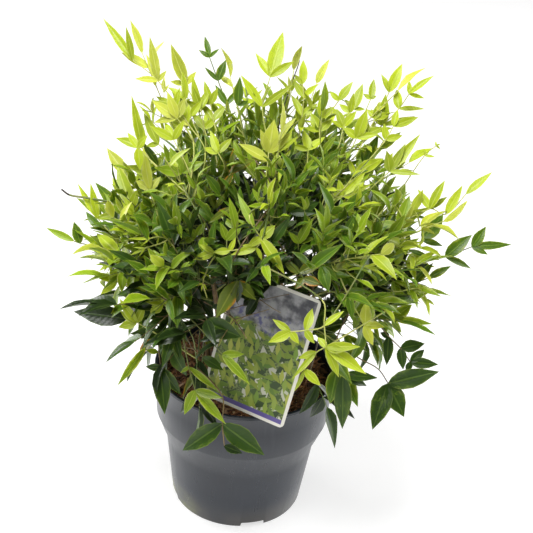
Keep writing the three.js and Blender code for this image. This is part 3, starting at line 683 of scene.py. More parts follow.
# Each tone of leaflet: its colour, its paler midrib and margin, its roughness and how much light
# passes through it.
LEAF_TONES = {
    "deep": {"colour": (31, 48, 18), "rib": (66, 86, 40), "margin": (62, 80, 36), "rough": 0.3, "glow": 0.05},
    "dark": {"colour": (47, 74, 20), "rib": (88, 114, 42), "margin": (88, 110, 40), "rough": 0.32,
             "glow": 0.08},
    "green": {"colour": (74, 108, 20), "rib": (118, 146, 48), "margin": (128, 148, 52), "rough": 0.36,
              "glow": 0.2},
    "fresh": {"colour": (124, 152, 28), "rib": (158, 176, 66), "margin": (172, 182, 76), "rough": 0.4,
              "glow": 0.3},
    "lime": {"colour": (162, 182, 38), "rib": (188, 198, 86), "margin": (192, 198, 88), "rough": 0.42,
             "glow": 0.25},
    "pale": {"colour": (184, 194, 70), "rib": (202, 208, 108), "margin": (200, 204, 100), "rough": 0.42,
             "glow": 0.25},
    "olive": {"colour": (88, 104, 26), "rib": (132, 138, 54), "margin": (196, 118, 34), "rough": 0.36,
              "glow": 0.1},
}
TONE_ORDER = ["deep", "dark", "green", "fresh", "lime", "pale"]
TONE_SLOT = {
    "deep": "leaf_dark", "dark": "leaf_dark", "green": "leaf_fresh", "fresh": "leaf_fresh",
    "lime": "leaf_lime", "pale": "leaf_lime", "olive": "leaf_fresh",
}


def leaf_finish(tone):
    kind = LEAF_TONES[tone]
    look = Finish(f"{tone}_leaf")
    across, along, _ = look.parts(look.node("UVMap", uv_map="blade").outputs[0])
    off_rib = look.times(look.math("ABSOLUTE", look.math("SUBTRACT", across, 0.5)), 2.0)
    on_rib = look.under(off_rib, 0.03, 0.13)
    on_margin = look.over(off_rib, 0.86, 0.97)
    veins = look.math("SINE", look.math("SUBTRACT", look.times(along, 62.0), look.times(off_rib, 9.0)))
    body = linear(*kind["colour"])
    darker = tuple(c * 0.72 for c in body[:3]) + (1,)
    warmer = (body[0] * 1.14, body[1] * 1.1, body[2], 1)
    own_tone = look.node("Attribute", attribute_name="tone").outputs["Fac"]
    underside = look.node("Attribute", attribute_name="under").outputs["Fac"]
    colour = look.blend(look.over(own_tone, 0.0, 1.0, "LINEAR"), darker, warmer)
    mottle = look.over(look.noise(look.place(), 130.0), 0.35, 0.75)
    colour = look.blend(look.times(mottle, 0.22), colour, darker)
    colour = look.blend(look.times(underside, 0.35), colour, kind["rib"])
    if tone == "olive":
        patches = look.over(look.noise(look.place(), 55.0), 0.45, 0.62)
        on_margin = look.times(look.over(off_rib, 0.55, 0.95), patches)
    colour = look.blend(look.times(on_margin, 0.75), colour, kind["margin"])
    colour = look.blend(look.times(on_rib, 0.7), colour, kind["rib"])
    look.shade({"Specular IOR Level": 0.28, "Subsurface Weight": kind["glow"],
                "Subsurface Radius": (1.0, 1.0, 0.35), "Subsurface Scale": 0.0012})
    relief = look.math("ADD", veins, look.times(on_rib, 3.0))
    return look.finished(colour, kind["rough"], relief, 0.2, 0.00012)


def stalk_finish(name, colour, other):
    look = Finish(name)
    place = look.place()
    patches = look.over(look.noise(place, 45.0), 0.35, 0.7)
    return look.finished(look.blend(patches, colour, other), 0.5, look.noise(place, 900.0), 0.3, 0.0002)


def cane_finish():
    look = Finish("cane_bark")
    place = look.place()
    furrows = look.noise(look.scaled(place, (1, 1, 0.12)), 420.0, detail=5)
    colour = look.blend(look.over(furrows, 0.35, 0.68), (58, 42, 26), (142, 116, 74))
    patches = look.over(look.noise(place, 38.0), 0.5, 0.8)
    colour = look.blend(look.times(patches, 0.5), colour, (96, 104, 52))
    return look.finished(colour, 0.75, furrows, 0.7, 0.0006)


def pot_finish():
    """Dark plastic with dull streaks, splashes at its foot and a little moss on the left of it."""
    look = Finish("pot_plastic")
    place = look.place()
    side, _, height = look.parts(place)
    clouds = look.noise(place, 9.0, detail=4)
    streaks = look.noise(look.scaled(place, (1, 1, 0.08)), 150.0, detail=4)
    low = look.under(height, 0.004, 0.03)
    splash = look.times(low, look.over(clouds, 0.35, 0.7))
    moss = look.times(look.times(low, look.under(side, -0.062, -0.02)),
                      look.over(look.noise(place, 60.0, detail=4), 0.35, 0.65))
    colour = look.blend(look.over(clouds, 0.3, 0.75), (20, 27, 37), (27, 35, 47))
    colour = look.blend(look.times(look.over(streaks, 0.55, 0.8), 0.25), colour, (66, 69, 75))
    colour = look.blend(look.times(splash, 0.4), colour, (96, 90, 78))
    colour = look.blend(look.times(moss, 0.6), colour, (128, 132, 70))
    rough = look.node("MapRange", {0: streaks, 1: 0.3, 2: 0.8, 3: 0.26, 4: 0.38}).outputs[0]
    return look.finished(colour, rough, look.noise(place, 1400.0, detail=2), 0.12, 0.0003)


def mix_finish(name, dark, light):
    look = Finish(name)
    place = look.place()
    fibres = look.noise(place, 600.0, detail=4)
    colour = look.blend(look.over(look.noise(place, 70.0, detail=4), 0.3, 0.7), dark, light)
    colour = look.blend(look.times(look.over(fibres, 0.5, 0.7), 0.5), colour, dark)
    return look.finished(colour, 0.8, fibres, 0.6, 0.0006)


# The card's printed leaves, layer on layer: their turn and slimness, how closely they stand, how
# much of its cell each fills, and their two greens.
CARD_LEAVES = [
    {"turn": 20, "slim": 0.42, "scale": 0.1, "inside": 0.42, "greens": ((170, 174, 150), (206, 204, 190))},
    {"turn": -40, "slim": 0.4, "scale": 0.125, "inside": 0.5, "greens": ((34, 52, 24), (66, 88, 38))},
    {"turn": -75, "slim": 0.36, "scale": 0.14, "inside": 0.42, "greens": ((84, 118, 36), (126, 144, 46))},
    {"turn": 55, "slim": 0.34, "scale": 0.15, "inside": 0.38, "greens": ((78, 110, 36), (146, 156, 54))},
    {"turn": 8, "slim": 0.34, "scale": 0.13, "inside": 0.34, "greens": ((112, 142, 52), (164, 170, 70))},
]


def card_finish():
    """A printed card: a pale edge, a cloudy grey band above, leaf shapes and a violet strip at the foot."""
    look = Finish("label_card")
    place = look.node("UVMap", uv_map="card").outputs[0]
    across, upwards, _ = look.parts(place)
    in_mm = look.scaled(place, (LABEL["width"], LABEL["height"], 1))
    soft = look.noise(in_mm, 0.06, detail=4)
    fine = look.noise(in_mm, 0.5, detail=4)
    band = look.blend(look.over(soft, 0.38, 0.62), (72, 72, 78), (160, 160, 162))
    violet = look.times(look.over(look.noise(in_mm, 0.16), 0.5, 0.64), look.under(upwards, 0.72, 0.84))
    band = look.blend(look.times(violet, 0.85), band, (80, 80, 132))
    picture = look.blend(look.over(fine, 0.4, 0.6), (60, 74, 40), (120, 136, 74))
    for leaves in CARD_LEAVES:
        tilted = look.node("Mapping", {
            "Vector": in_mm, "Rotation": (0, 0, math.radians(leaves["turn"])),
            "Scale": (1, 1 / leaves["slim"], 1),
        }, vector_type="TEXTURE").outputs[0]
        cells = look.node("TexVoronoi",
                          {"Vector": tilted, "Scale": leaves["scale"], "Exponent": 1.15, "Randomness": 0.9},
                          voronoi_dimensions="2D", distance="MINKOWSKI")
        fill = leaves["inside"]
        is_leaf = look.under(cells.outputs["Distance"], fill - 0.05, fill)
        share = look.node("SeparateColor", {0: cells.outputs["Color"]}).outputs[0]
        picture = look.blend(is_leaf, picture, look.blend(share, *leaves["greens"]))
    edge = look.math("ADD", upwards, look.times(look.math("SUBTRACT", soft, 0.5), 0.3))
    printed = look.blend(look.over(edge, 0.63, 0.68), picture, band)
    printed = look.blend(look.under(upwards, 0.056, 0.06), printed, (92, 80, 142))
    sides = []
    for part, size, fade in ((across, LABEL["width"], 0.003), (upwards, LABEL["height"], 0.002)):
        border = LABEL["border"] / size
        sides += [look.over(part, border, border + fade), look.under(part, 1 - border - fade, 1 - border)]
    inside = reduce(look.times, sides)
    colour = look.blend(inside, (222, 219, 208), printed)
    return look.finished(colour, 0.32, look.noise(in_mm, 3.0), 0.05, 0.0002)


# ---- Pieces that are shaped by hand ----


def deselect():
    bpy.ops.object.select_all(action="DESELECT")


def pick(piece):
    """Selects a piece alone."""
    deselect()
    bpy.context.view_layer.objects.active = piece
    piece.select_set(True)


def edit(piece):
    pick(piece)
    bpy.ops.object.mode_set(mode="EDIT")


def leave_edit():
    bpy.ops.object.mode_set(mode="OBJECT")


def turned_body(name, profile, sides):
    """A round body: a disc that is drawn on, ring by ring, along a profile of radius and height."""
    deselect()
    radius, height = profile[0]
    bpy.ops.mesh.primitive_circle_add(vertices=sides, radius=radius * MM, fill_type="NGON",
                                      location=(0, 0, height * MM))
    piece = bpy.context.object
    piece.name = name
    bpy.ops.object.transform_apply(location=True)
    edit(piece)
    for next_radius, next_height in profile[1:]:
        step = (0, 0, (next_height - height) * MM)
        bpy.ops.mesh.extrude_region_move(TRANSFORM_OT_translate={"value": step})
        grow_by = next_radius / radius
        bpy.ops.transform.resize(value=(grow_by, grow_by, 1), center_override=(0, 0, next_height * MM))
        radius, height = next_radius, next_height
    bpy.ops.mesh.select_all(action="SELECT")
    bpy.ops.mesh.normals_make_consistent(inside=False)
    leave_edit()
    return piece


def apply_modifier(piece, kind, **settings):
    pick(piece)
    modifier = piece.modifiers.new(kind.lower(), kind)
    for key, value in settings.items():
        setattr(modifier, key, value)
    bpy.ops.object.modifier_apply(modifier=modifier.name)


def smooth_by_angle(piece, degrees):
    pick(piece)
    bpy.ops.object.shade_smooth_by_angle(angle=math.radians(degrees))


def settle(piece, finish, slot_name, *nodes):
    """Gives a finished piece its material, its body and the nodes that it stands for. slot_name is not used.
    """
    piece.data.materials.clear()
    piece.data.materials.append(finish)
    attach(piece, "root")
    if nodes:
        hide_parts(*nodes)


def outer_radius(height):
    low, high = POT["shoulder_low"], POT["shoulder_high"]
    if height < low:
        return lerp(POT["base_radius"], POT["waist_radius"], height / low)
    if height < high:
        return lerp(POT["waist_radius"], POT["collar_radius"], (height - low) / (high - low))
    return lerp(POT["collar_radius"], POT["rim_radius"], (height - high) / (POT["height"] - high))


def inner_radius(height):
    return outer_radius(height) - POT["wall"]


def floor_profile(clear):
    """The upper face of the pot's floor, from its pad outwards, raised by a clearance."""
    pad = POT["floor"] + clear
    raised = CHANNEL["height"] + pad
    inner = CHANNEL["inner"] - CHANNEL["thinner"] - clear
    fillet = POT["fillet"]
    return [
        (inner, pad), (inner + CHANNEL["slope"], raised),
        (inner_radius(raised) - fillet / 2 - clear, raised),
        (inner_radius(raised + fillet) - clear, raised + fillet),
    ]


def make_pot():
    """The pot's wall, from its pad out to its foot, up its outside and down its inside."""
    inner, outer = CHANNEL["inner"], CHANNEL["outer"]
    low, high, top = POT["shoulder_low"], POT["shoulder_high"], POT["height"]
    rim, lip = POT["rim_radius"], POT["rim_height"]
    under_rim = top - lip - 1
    mouth = rim - POT["wall"] - POT["rim_lip"]
    step = 0.5
    profile = [
        (inner, 0), (inner + CHANNEL["slope"], CHANNEL["height"]),
        (outer - CHANNEL["ring_slope"], CHANNEL["height"]), (outer, 0),
        (outer_radius(0) - POT["foot_edge"], 0), (outer_radius(0) - step, step / 2),
        (outer_radius(2), 2), (outer_radius(35), 35), (outer_radius(low - 6), low - 6),
        (outer_radius(low) + step, low + 1), (outer_radius(84) + step, 84),
        (outer_radius(high - 2), high - 2.5), (outer_radius(high) + step, high),
        (outer_radius(125), 125), (rim - 1.2, under_rim - step), (rim - step, under_rim + step),
        (rim, top - lip), (rim, top - step), (rim - step, top),
        (mouth + step, top), (mouth, top - step), (inner_radius(under_rim), under_rim),
        (inner_radius(high), high), (inner_radius(low), low),
    ] + floor_profile(0)[::-1]
    pot = turned_body("nursery_pot", profile, POT["sides"])
    cut_notches(pot)
    smooth_by_angle(pot, 38)
    settle(pot, pot_finish(), "pot_plastic", "pot")


def cut_notches(pot):
    foot = POT["base_radius"] * MM
    for k in range(NOTCH["count"]):
        turn = math.radians(NOTCH["azimuth"] + 360 / NOTCH["count"] * k)
        deselect()
        bpy.ops.mesh.primitive_cube_add(size=1, location=(0, 0, 0))
        cutter = bpy.context.object
        edit(cutter)
        bpy.ops.transform.resize(
            value=(NOTCH["depth"] * MM, NOTCH["width"] * MM, 2 * NOTCH["height"] * MM))
        bpy.ops.mesh.bevel(offset=1.5 * MM, segments=2, affect="EDGES")
        leave_edit()
        cutter.location = (foot * math.cos(turn), foot * math.sin(turn), 0)
        cutter.rotation_euler = (0, 0, turn)
        apply_modifier(pot, "BOOLEAN", operation="DIFFERENCE", object=cutter, solver="EXACT")
        bpy.data.objects.remove(cutter)


def mound_height(radius):
    """The height of the potting mix's top at a distance from the pot's axis."""
    edge = inner_radius(MIX["top"]) - GAP
    flat = MIX["crown_radius"] * edge
    share = np.clip((edge - radius) / (edge - flat), 0, 1)
    return MIX["top"] + MIX["crown"] * share


def make_mix():
    """The bed of the potting mix, a little lower than its top, where loose bark covers it."""
    top = MIX["top"]
    edge = inner_radius(top) - GAP
    side = [(inner_radius(h) - GAP, h) for h in (POT["shoulder_low"], POT["shoulder_high"])]
    rings = [(edge, top - MIX["bark"])]
    rings += [(edge * s, mound_height(edge * s) - MIX["bark"]) for s in np.linspace(0.96, 0.04, 24)]
    mix = turned_body("potting_mix_bed", floor_profile(GAP) + side + rings, 96)
    draw = np.random.default_rng(SEED)
    for vertex in mix.data.vertices:
        radius = math.hypot(vertex.co.x, vertex.co.y) / MM
        if vertex.co.z > (top - 2 * MIX["bark"]) * MM and radius < edge - 1:
            vertex.co.z += draw.uniform(*MIX["lumps"]) * MM
    smooth_by_angle(mix, 60)
    settle(mix, mix_finish("bark_mulch_bed", (24, 15, 10), (66, 42, 27)), "bark_mulch", "potting_mix")


def mesh_piece(name, vertices, faces, smooth=True):
    """A new mesh object from vertices in millimetres."""
    mesh = bpy.data.meshes.new(name)
    mesh.from_pydata((np.asarray(vertices) * MM).tolist(), [], faces)
    mesh.polygons.foreach_set("use_smooth", np.full(len(mesh.polygons), smooth))
    mesh.update()
    piece = bpy.data.objects.new(name, mesh)
    bpy.context.scene.collection.objects.link(piece)
    return piece


# A splinter of bark has four sides and three lengths, with its ends drawn in.
SPLINTER_RINGS = [(0.0, 0.35), (0.3, 1.0), (0.72, 0.85), (1.0, 0.25)]


def splinter_faces():
    faces = [(0, 3, 2, 1), (12, 13, 14, 15)]
    for k in range(3):
        for side in range(4):
            other = (side + 1) % 4
            faces.append((4 * k + side, 4 * k + other, 4 * k + 4 + other, 4 * k + 4 + side))
    return faces


BARK = {
    "dark_bark": {"count": 1700, "length": (6, 22), "width": (0.7, 2.2), "thick": (0.5, 1.2),
                  "dark": (52, 32, 20), "light": (120, 78, 50)},
    "brown_bark": {"count": 2200, "length": (9, 28), "width": (0.5, 1.7), "thick": (0.4, 1.0),
                   "dark": (104, 64, 38), "light": (190, 132, 84)},
    "pale_bark": {"count": 330, "length": (7, 24), "width": (0.7, 2.2), "thick": (0.5, 1.2),
                  "dark": (150, 112, 74), "light": (218, 188, 144)},
    "bark_chips": {"count": 90, "length": (10, 19), "width": (4, 8), "thick": (1.0, 2.2),
                   "dark": (100, 66, 44), "light": (190, 154, 116)},
}


def make_bark():
    """Loose splinters and chips of bark, spread evenly over the mound."""
    faces = splinter_faces()
    edge = inner_radius(MIX["top"]) - GAP
    for order, (name, kind) in enumerate(BARK.items()):
        draw = np.random.default_rng(SEED + order)
        count = kind["count"]
        length = draw.uniform(*kind["length"], count)
        width = draw.uniform(*kind["width"], count)
        thick = draw.uniform(*kind["thick"], count)
        radius = (edge - 0.5 * length - 1) * np.sqrt(draw.uniform(0, 1, count))
        turn = draw.uniform(0, 2 * math.pi, count)
        heading_turn = draw.uniform(0, 2 * math.pi, count)
        pitch = draw.normal(0, 0.2, count)
        roll = draw.uniform(-0.9, 0.9, count)
        bend = draw.uniform(-0.18, 0.18, count) * length
        centre = np.stack([radius * np.cos(turn), radius * np.sin(turn),
                           mound_height(radius) + draw.uniform(-1.2, 2.6, count)], 1)
        along = np.stack([np.cos(heading_turn) * np.cos(pitch), np.sin(heading_turn) * np.cos(pitch),
                          np.sin(pitch)], 1)
        flat = np.stack([-np.sin(heading_turn), np.cos(heading_turn), np.zeros(count)], 1)
        high = np.cross(along, flat)
        across = flat * np.cos(roll)[:, None] + high * np.sin(roll)[:, None]
        normal = np.cross(along, across)
        corners = []
        for place, size in SPLINTER_RINGS:
            middle = centre + along * ((place - 0.5) * length)[:, None]
            middle = middle + across * (bend * (place - 0.5) ** 2)[:, None]
            for a, b in ((-1, -1), (1, -1), (1, 1), (-1, 1)):
                corners.append(middle + across * (a * size * width / 2)[:, None]
                               + normal * (b * size * thick / 2)[:, None])
        vertices = np.stack(corners, 1)
        vertices[..., 2] = np.clip(vertices[..., 2], MIX["top"] - 4, POT["height"] - 1)
        all_faces = [tuple(16 * k + corner for corner in face) for k in range(count) for face in faces]
        piece = mesh_piece(name, vertices.reshape(-1, 3), all_faces, smooth=False)
        settle(piece, mix_finish(name, kind["dark"], kind["light"]), "bark_mulch")


# ---- The picture label ----


def label_frame():
    """The card's right corner, its edge to the right, its edge upwards and its face's normal."""
    lean, turn, tilt = (math.radians(LABEL[key]) for key in ("lean", "turn", "tilt"))
    normal = np.array([math.sin(turn) * math.cos(lean), -math.cos(turn) * math.cos(lean), math.sin(lean)])
    level = unit(np.cross(UP, normal))
    steep = np.cross(normal, level)
    right = level * math.cos(tilt) - steep * math.sin(tilt)
    tall = level * math.sin(tilt) + steep * math.cos(tilt)
    corner = np.array([LABEL["corner_x"], LABEL["corner_y"], 0.0])
    rim_inside = POT["rim_radius"] - POT["wall"] - POT["rim_lip"] - LABEL["clear"]
    rim_outside = POT["rim_radius"] + 1
    rise = 0
    steps = 100
    for k in range(steps + 1):
        point = corner - right * LABEL["width"] * k / steps
        if rim_inside < math.hypot(point[0], point[1]) < rim_outside:
            rise = max(rise, POT["height"] + GAP - point[2])
    corner[2] = rise
    return {"corner": corner, "right": right, "tall": tall, "normal": normal}


def make_label(card):
    deselect()
    bpy.ops.mesh.primitive_grid_add(x_subdivisions=14, y_subdivisions=20, size=1)
    piece = bpy.context.object
    piece.name = "picture_card"
    width, height = LABEL["width"] * MM, LABEL["height"] * MM
    edit(piece)
    bpy.ops.transform.resize(value=(width, height, 1))
    bpy.ops.transform.translate(value=(-width / 2, height / 2, 0))
    bpy.ops.mesh.select_all(action="DESELECT")
    leave_edit()
    for vertex in piece.data.vertices:
        at_side = min(abs(vertex.co.x), abs(vertex.co.x + width)) < 1e-6
        at_end = min(abs(vertex.co.y), abs(vertex.co.y - height)) < 1e-6
        vertex.select = at_side and at_end
    edit(piece)
    bpy.ops.mesh.select_mode(type="VERT")
    bpy.ops.mesh.bevel(offset=LABEL["corner"] * MM, segments=5, affect="VERTICES")
    leave_edit()
    flat = [(v.co.x / width + 1, v.co.y / height) for v in piece.data.vertices]
    marks = piece.data.uv_layers.new(name="card")
    for loop in piece.data.loops:
        marks.data[loop.index].uv = flat[loop.vertex_index]
    for vertex in piece.data.vertices:
        share = vertex.co.y / height
        vertex.co.z = -LABEL["bow"] * MM * share ** 2 * (0.6 + 0.8 * (vertex.co.x / width + 0.5) ** 2)
    apply_modifier(piece, "SOLIDIFY", thickness=LABEL["thick"] * MM, offset=1)
    columns = [card["right"], card["tall"], card["normal"]]
    turn = Matrix([Vector(c) for c in columns]).transposed().to_4x4()
    piece.data.transform(Matrix.Translation(Vector(card["corner"]) * MM) @ turn)
    smooth_by_angle(piece, 30)
    settle(piece, card_finish(), "label_card", "picture_label")


# ---- Canes ----


def make_canes():
    canes = []
    for ring in ("inner", "outer"):
        row = CANES[ring]
        for k in range(row["count"]):
            turn = row["azimuth"] + 360 / row["count"] * k
            way = heading(turn, 0)
            root = way * row["foot"] + UP * (MIX["top"] - CANES["depth"])
            tip = way * row["spread"] + UP * (row["top"] + row["step"] * ((k * 2) % row["count"]))
            bend = way * 1.08 * row["foot"] + UP * lerp(root[2], tip[2], 0.45)
            curve = Bend(root, bend, tip)
            canes.append({"ring": ring, "azimuth": turn, "curve": curve,
                          "line": curve.points(CANES["steps"])})
    return canes


def on_cane(cane, t):
    part = min(int(t * CANES["steps"]), CANES["steps"] - 1)
    return lerp(cane["line"][part], cane["line"][part + 1], t * CANES["steps"] - part)


def cane_radius(t):
    return lerp(CANES["foot_radius"], CANES["tip_radius"], t)


def tube_of(points, radii, sides, relief=None):
    """A closed round limb through points. relief, one row for each ring, lifts its skin."""
    points = np.asarray(points)
    steps = np.gradient(points, axis=0)
    along = steps / np.linalg.norm(steps, axis=1)[:, None]
    side = unit(np.cross(along[0], UP if abs(along[0][2]) < 0.9 else np.array([1.0, 0, 0])))
    turns = np.arange(sides) * 2 * math.pi / sides
    vertices = []
    for k, (point, way) in enumerate(zip(points, along)):
        side = unit(side - way * side.dot(way))
        third = np.cross(way, side)
        radius = radii[k] * (1 if relief is None else relief[k])
        vertices.append(point + np.outer(radius * np.cos(turns), side)
                        + np.outer(radius * np.sin(turns), third))
    count = len(points)
    faces = [tuple(range(sides))[::-1], tuple((count - 1) * sides + j for j in range(sides))]
    for k in range(count - 1):
        for j in range(sides):
            other = (j + 1) % sides
            faces.append((k * sides + j, k * sides + other, (k + 1) * sides + other, (k + 1) * sides + j))
    return np.concatenate(vertices), faces


def joined_tubes(name, tubes):
    vertices, faces, first = [], [], 0
    for points, corners in tubes:
        vertices.append(points)
        faces += [tuple(first + c for c in face) for face in corners]
        first += len(points)
    return mesh_piece(name, np.concatenate(vertices), faces)


def dress_canes(canes):
    """Canes with swollen joints, old leaf sheaths and furrowed bark."""
    finish = cane_finish()
    skin = CANE_SKIN
    sides = skin["sides"]
    around = np.arange(sides) * 2 * math.pi / sides
    for k, cane in enumerate(canes):
        draw = np.random.default_rng(SEED + 10 + k)
        share = np.linspace(0, 1, skin["rings"])
        points = np.array([cane["curve"].point(t) for t in share])
        place = (share * skin["joints"] + draw.uniform(0, 1)) % 1
        joint = skin["swelling"] * np.exp(-((place - 0.5) / skin["joint_length"]) ** 2)
        swelling = 1 + joint + skin["sheath"] * (place > 0.5)
        furrows = 1 + draw.normal(0, skin["furrow"], (skin["rings"], sides))
        ridge = 1 + skin["ridge"] * np.sin(around * skin["ridges"] + draw.uniform(0, 6))
        radii = np.array([cane_radius(t) for t in share]) * skin["slimmer"] * swelling
        part = tube_of(points, radii, sides, relief=furrows * ridge)
        settle(joined_tubes(f"cane_with_bark_{k + 1}", [part]), finish, "cane_bark", f"cane_{k + 1}")


# ---- The axes of the sprays ----


def angle_between(a, b):
    return abs((a - b + 540) % 360 - 180)


def make_axis(cane, seat, tip, lift):
    centre = on_cane(cane, seat)
    chord = tip - centre
    start = unit(unit(chord) + UP * lift)
    along = cane["curve"].tangent(seat)
    out = unit(start - along * start.dot(along))
    slope = math.sqrt(max(0, 1 - out.dot(start) ** 2))
    foot = centre + out * (cane_radius(seat) + GAP + SPRAY["clear_radius"] * slope)
    return Bend(foot, foot + start * 0.5 * np.linalg.norm(chord), tip)


def touches_label(points, card, clear=LABEL["clear"]):
    away = np.asarray(points) - card["corner"]
    aside, height, off = -away @ card["right"], away @ card["tall"], away @ card["normal"]
    across_it = (aside > -clear) & (aside < LABEL["width"] + clear)
    up_it = (height > -clear) & (height < LABEL["height"] + clear)
    return across_it & up_it & (off > -clear) & (off < LABEL["thick"] + clear)


def clear_axis(canes, near, seat, tip, lift, card, axes):
    """The axis from the nearest cane, or bent higher, or from a lower seat or the next cane, until
    it is clear of the label, the canes and the other axes."""
    stalk = 2 * SPRAY["clear_radius"] + LIMB_MARGIN
    for cane in near:
        for lower in SPRAY["lower_seats"]:
            for extra in SPRAY["extra_lifts"]:
                curve = make_axis(cane, seat - lower, tip, lift + extra)
                points = curve.points(60)
                if touches_label(points, card).any():
                    continue
                if any(other is not cane and (distance_to_line(points, other["line"])
                                              < CANES["foot_radius"] + stalk / 2).any() for other in canes):
                    continue
                if any((distance_to_line(points, line) < stalk).any() for line in axes):
                    continue
                return curve
    return None


def make_sprays(canes, card):
    draw = seeded(SEED)
    sprays, axes = [], []
    for tier in TIERS:
        count = len(tier["reach"])
        for k in range(count):
            azimuth = lerp(tier["from"], tier["to"], k / (count - 1)) + spread(draw, SPRAY["jitter"])
            rise = tier["rise"] + spread(draw, SPRAY["jitter"])
            tip = HEART + heading(azimuth, rise) * tier["reach"][k]
            near = [cane for cane in canes if cane["ring"] == tier["on"]]
            near.sort(key=lambda cane: angle_between(cane["azimuth"], azimuth))
            seat = tier["seat"] - SPRAY["seat_step"] * (k % 2)
            curve = clear_axis(canes, near, seat, tip, tier["lift"], card, axes)
            if curve is None:
                continue
            axes.append(curve.points(12))
            own = {key: tier[key][k] if key in tier else usual for key, usual in SPRAY["own"].items()}
            sprays.append({"node": f"spray_{tier['name']}_{k + 1}", "tier": tier, "curve": curve,
                           "length": curve.length(), **own})
    return sprays


# ---- Foliage ----

# A leaflet is a thin closed blade: points along it and across it, where 1 is its edge, and whether
# the point is on its underside.
BLADE_ROWS = (0.1, 0.26, 0.45, 0.66, 0.85)
BLADE_ACROSS = (-1, -0.5, 0, 0.5, 1)


def blade_grid():
    top = [(0, 0, 0)] + [(s, x, 0) for s in BLADE_ROWS for x in BLADE_ACROSS] + [(1, 0, 0)]
    under = [(s, x, 1) for s in BLADE_ROWS for x in BLADE_ACROSS[1:-1]]
    return np.array(top + under, float)


def blade_faces():
    rows = len(BLADE_ROWS)
    wide = len(BLADE_ACROSS)
    tip = 1 + rows * wide
    upper = [[1 + r * wide + j for j in range(wide)] for r in range(rows)]
    lower = [[row[0]] + [tip + 1 + r * (wide - 2) + j for j in range(wide - 2)] + [row[-1]]
             for r, row in enumerate(upper)]
    faces = []
    for j in range(wide - 1):
        faces.append((0, upper[0][j + 1], upper[0][j]))
        faces.append((0, lower[0][j], lower[0][j + 1]))
        for r in range(rows - 1):
            faces.append((upper[r][j], upper[r][j + 1], upper[r + 1][j + 1], upper[r + 1][j]))
            faces.append((lower[r][j + 1], lower[r][j], lower[r + 1][j], lower[r + 1][j + 1]))
        faces.append((upper[-1][j], upper[-1][j + 1], tip))
        faces.append((lower[-1][j + 1], lower[-1][j], tip))
    return faces


def blade_outline(s):
    """A leaflet's half width along its length: widest below its middle, drawn out to a fine point."""
    rise, fall = 0.85, 1.25
    peak = rise / (rise + fall)
    return s ** rise * (1 - s) ** fall / (peak ** rise * (1 - peak) ** fall)


def leaflet_vertices(leaves):
    """The points of many leaflets, (leaflets, points, 3), in millimetres."""
    def column(key):
        return np.array([leaf[key] for leaf in leaves], float)

    grid = blade_grid()
    s, x, under = grid[:, 0], grid[:, 1], grid[:, 2]
    along, normal = column("along"), column("normal")
    across = np.cross(along, normal)
    length, width = column("length")[:, None], column("width")[:, None]
    fold, arch = column("fold")[:, None], column("arch")[:, None]
    turn = arch * s
    forward = length * s * np.sinc(turn / math.pi)
    sag = length * s * np.sin(turn / 2) * np.sinc(turn / (2 * math.pi))
    point = (column("base")[:, None] + along[:, None] * forward[..., None]
             - normal[:, None] * sag[..., None])
    lifted = normal[:, None] * np.cos(turn)[..., None] + along[:, None] * np.sin(turn)[..., None]
    roll = column("twist")[:, None] * (s - 0.3)
    aside = across[:, None] * np.cos(roll)[..., None] + lifted * np.sin(roll)[..., None]
    raised = lifted * np.cos(roll)[..., None] - across[:, None] * np.sin(roll)[..., None]
    half = width / 2 * blade_outline(s)
    ripple = 1.4 * s + column("phase")[:, None] + 0.25 * np.sign(x)
    wave = LEAFLET["wave"] * width * np.sin(2 * math.pi * ripple)
    rise = half * np.abs(x) * np.sin(fold) * (1.25 - 0.4 * np.abs(x)) + wave * np.abs(x) * blade_outline(s)
    rise = rise - under * LEAFLET["thick"] * (1 - 0.8 * np.abs(x))
    return point + aside * (half * x * np.cos(fold))[..., None] + raised * rise[..., None]


def leaflet_piece(name, leaves, finish, slot_name):
    grid, faces = blade_grid(), blade_faces()
    size = len(grid)
    vertices = leaflet_vertices(leaves).reshape(-1, 3)
    all_faces = [tuple(size * k + corner for corner in face) for k in range(len(leaves)) for face in faces]
    piece = mesh_piece(name, vertices, all_faces)
    mesh = piece.data
    corner_of = np.zeros(len(mesh.loops), int)
    mesh.loops.foreach_get("vertex_index", corner_of)
    local = corner_of % size
    marks = mesh.uv_layers.new(name="blade")
    marks.data.foreach_set("uv", np.stack([(grid[local, 1] + 1) / 2, grid[local, 0]], 1).ravel())
    tones = np.repeat([leaf["tone"] for leaf in leaves], size)
    unders = np.tile(grid[:, 2], len(leaves))
    for key, values in (("tone", tones), ("under", unders)):
        mesh.attributes.new(key, "FLOAT", "POINT").data.foreach_set("value", values.astype(np.float32))
    ends = np.zeros(2 * len(mesh.edges), int)
    mesh.edges.foreach_get("vertices", ends)
    on_rim = (np.abs(grid[:, 1]) == 1) | (grid[:, 0] == 0) | (grid[:, 0] == 1)
    sharp = on_rim[ends.reshape(-1, 2) % size].all(1)
    mesh.attributes.new("sharp_edge", "BOOLEAN", "EDGE").data.foreach_set("value", sharp)
    settle(piece, finish, slot_name)


# The directions to the right, upwards and towards the eye, from the front and above.
LEVEL = np.array([1.0, 0, 0])
UPRIGHT = np.array([0, math.sin(math.radians(SEEN_FROM)), math.cos(math.radians(SEEN_FROM))])
TOWARDS = np.cross(LEVEL, UPRIGHT)
EYE = np.array(CAMERA["place"])
# The view from there in square cells: how many there are each way, their size, and how far off the
# plane stands that has them at that size.
VIEW = {"cells": 220, "cell": 3.0, "far": 1100}


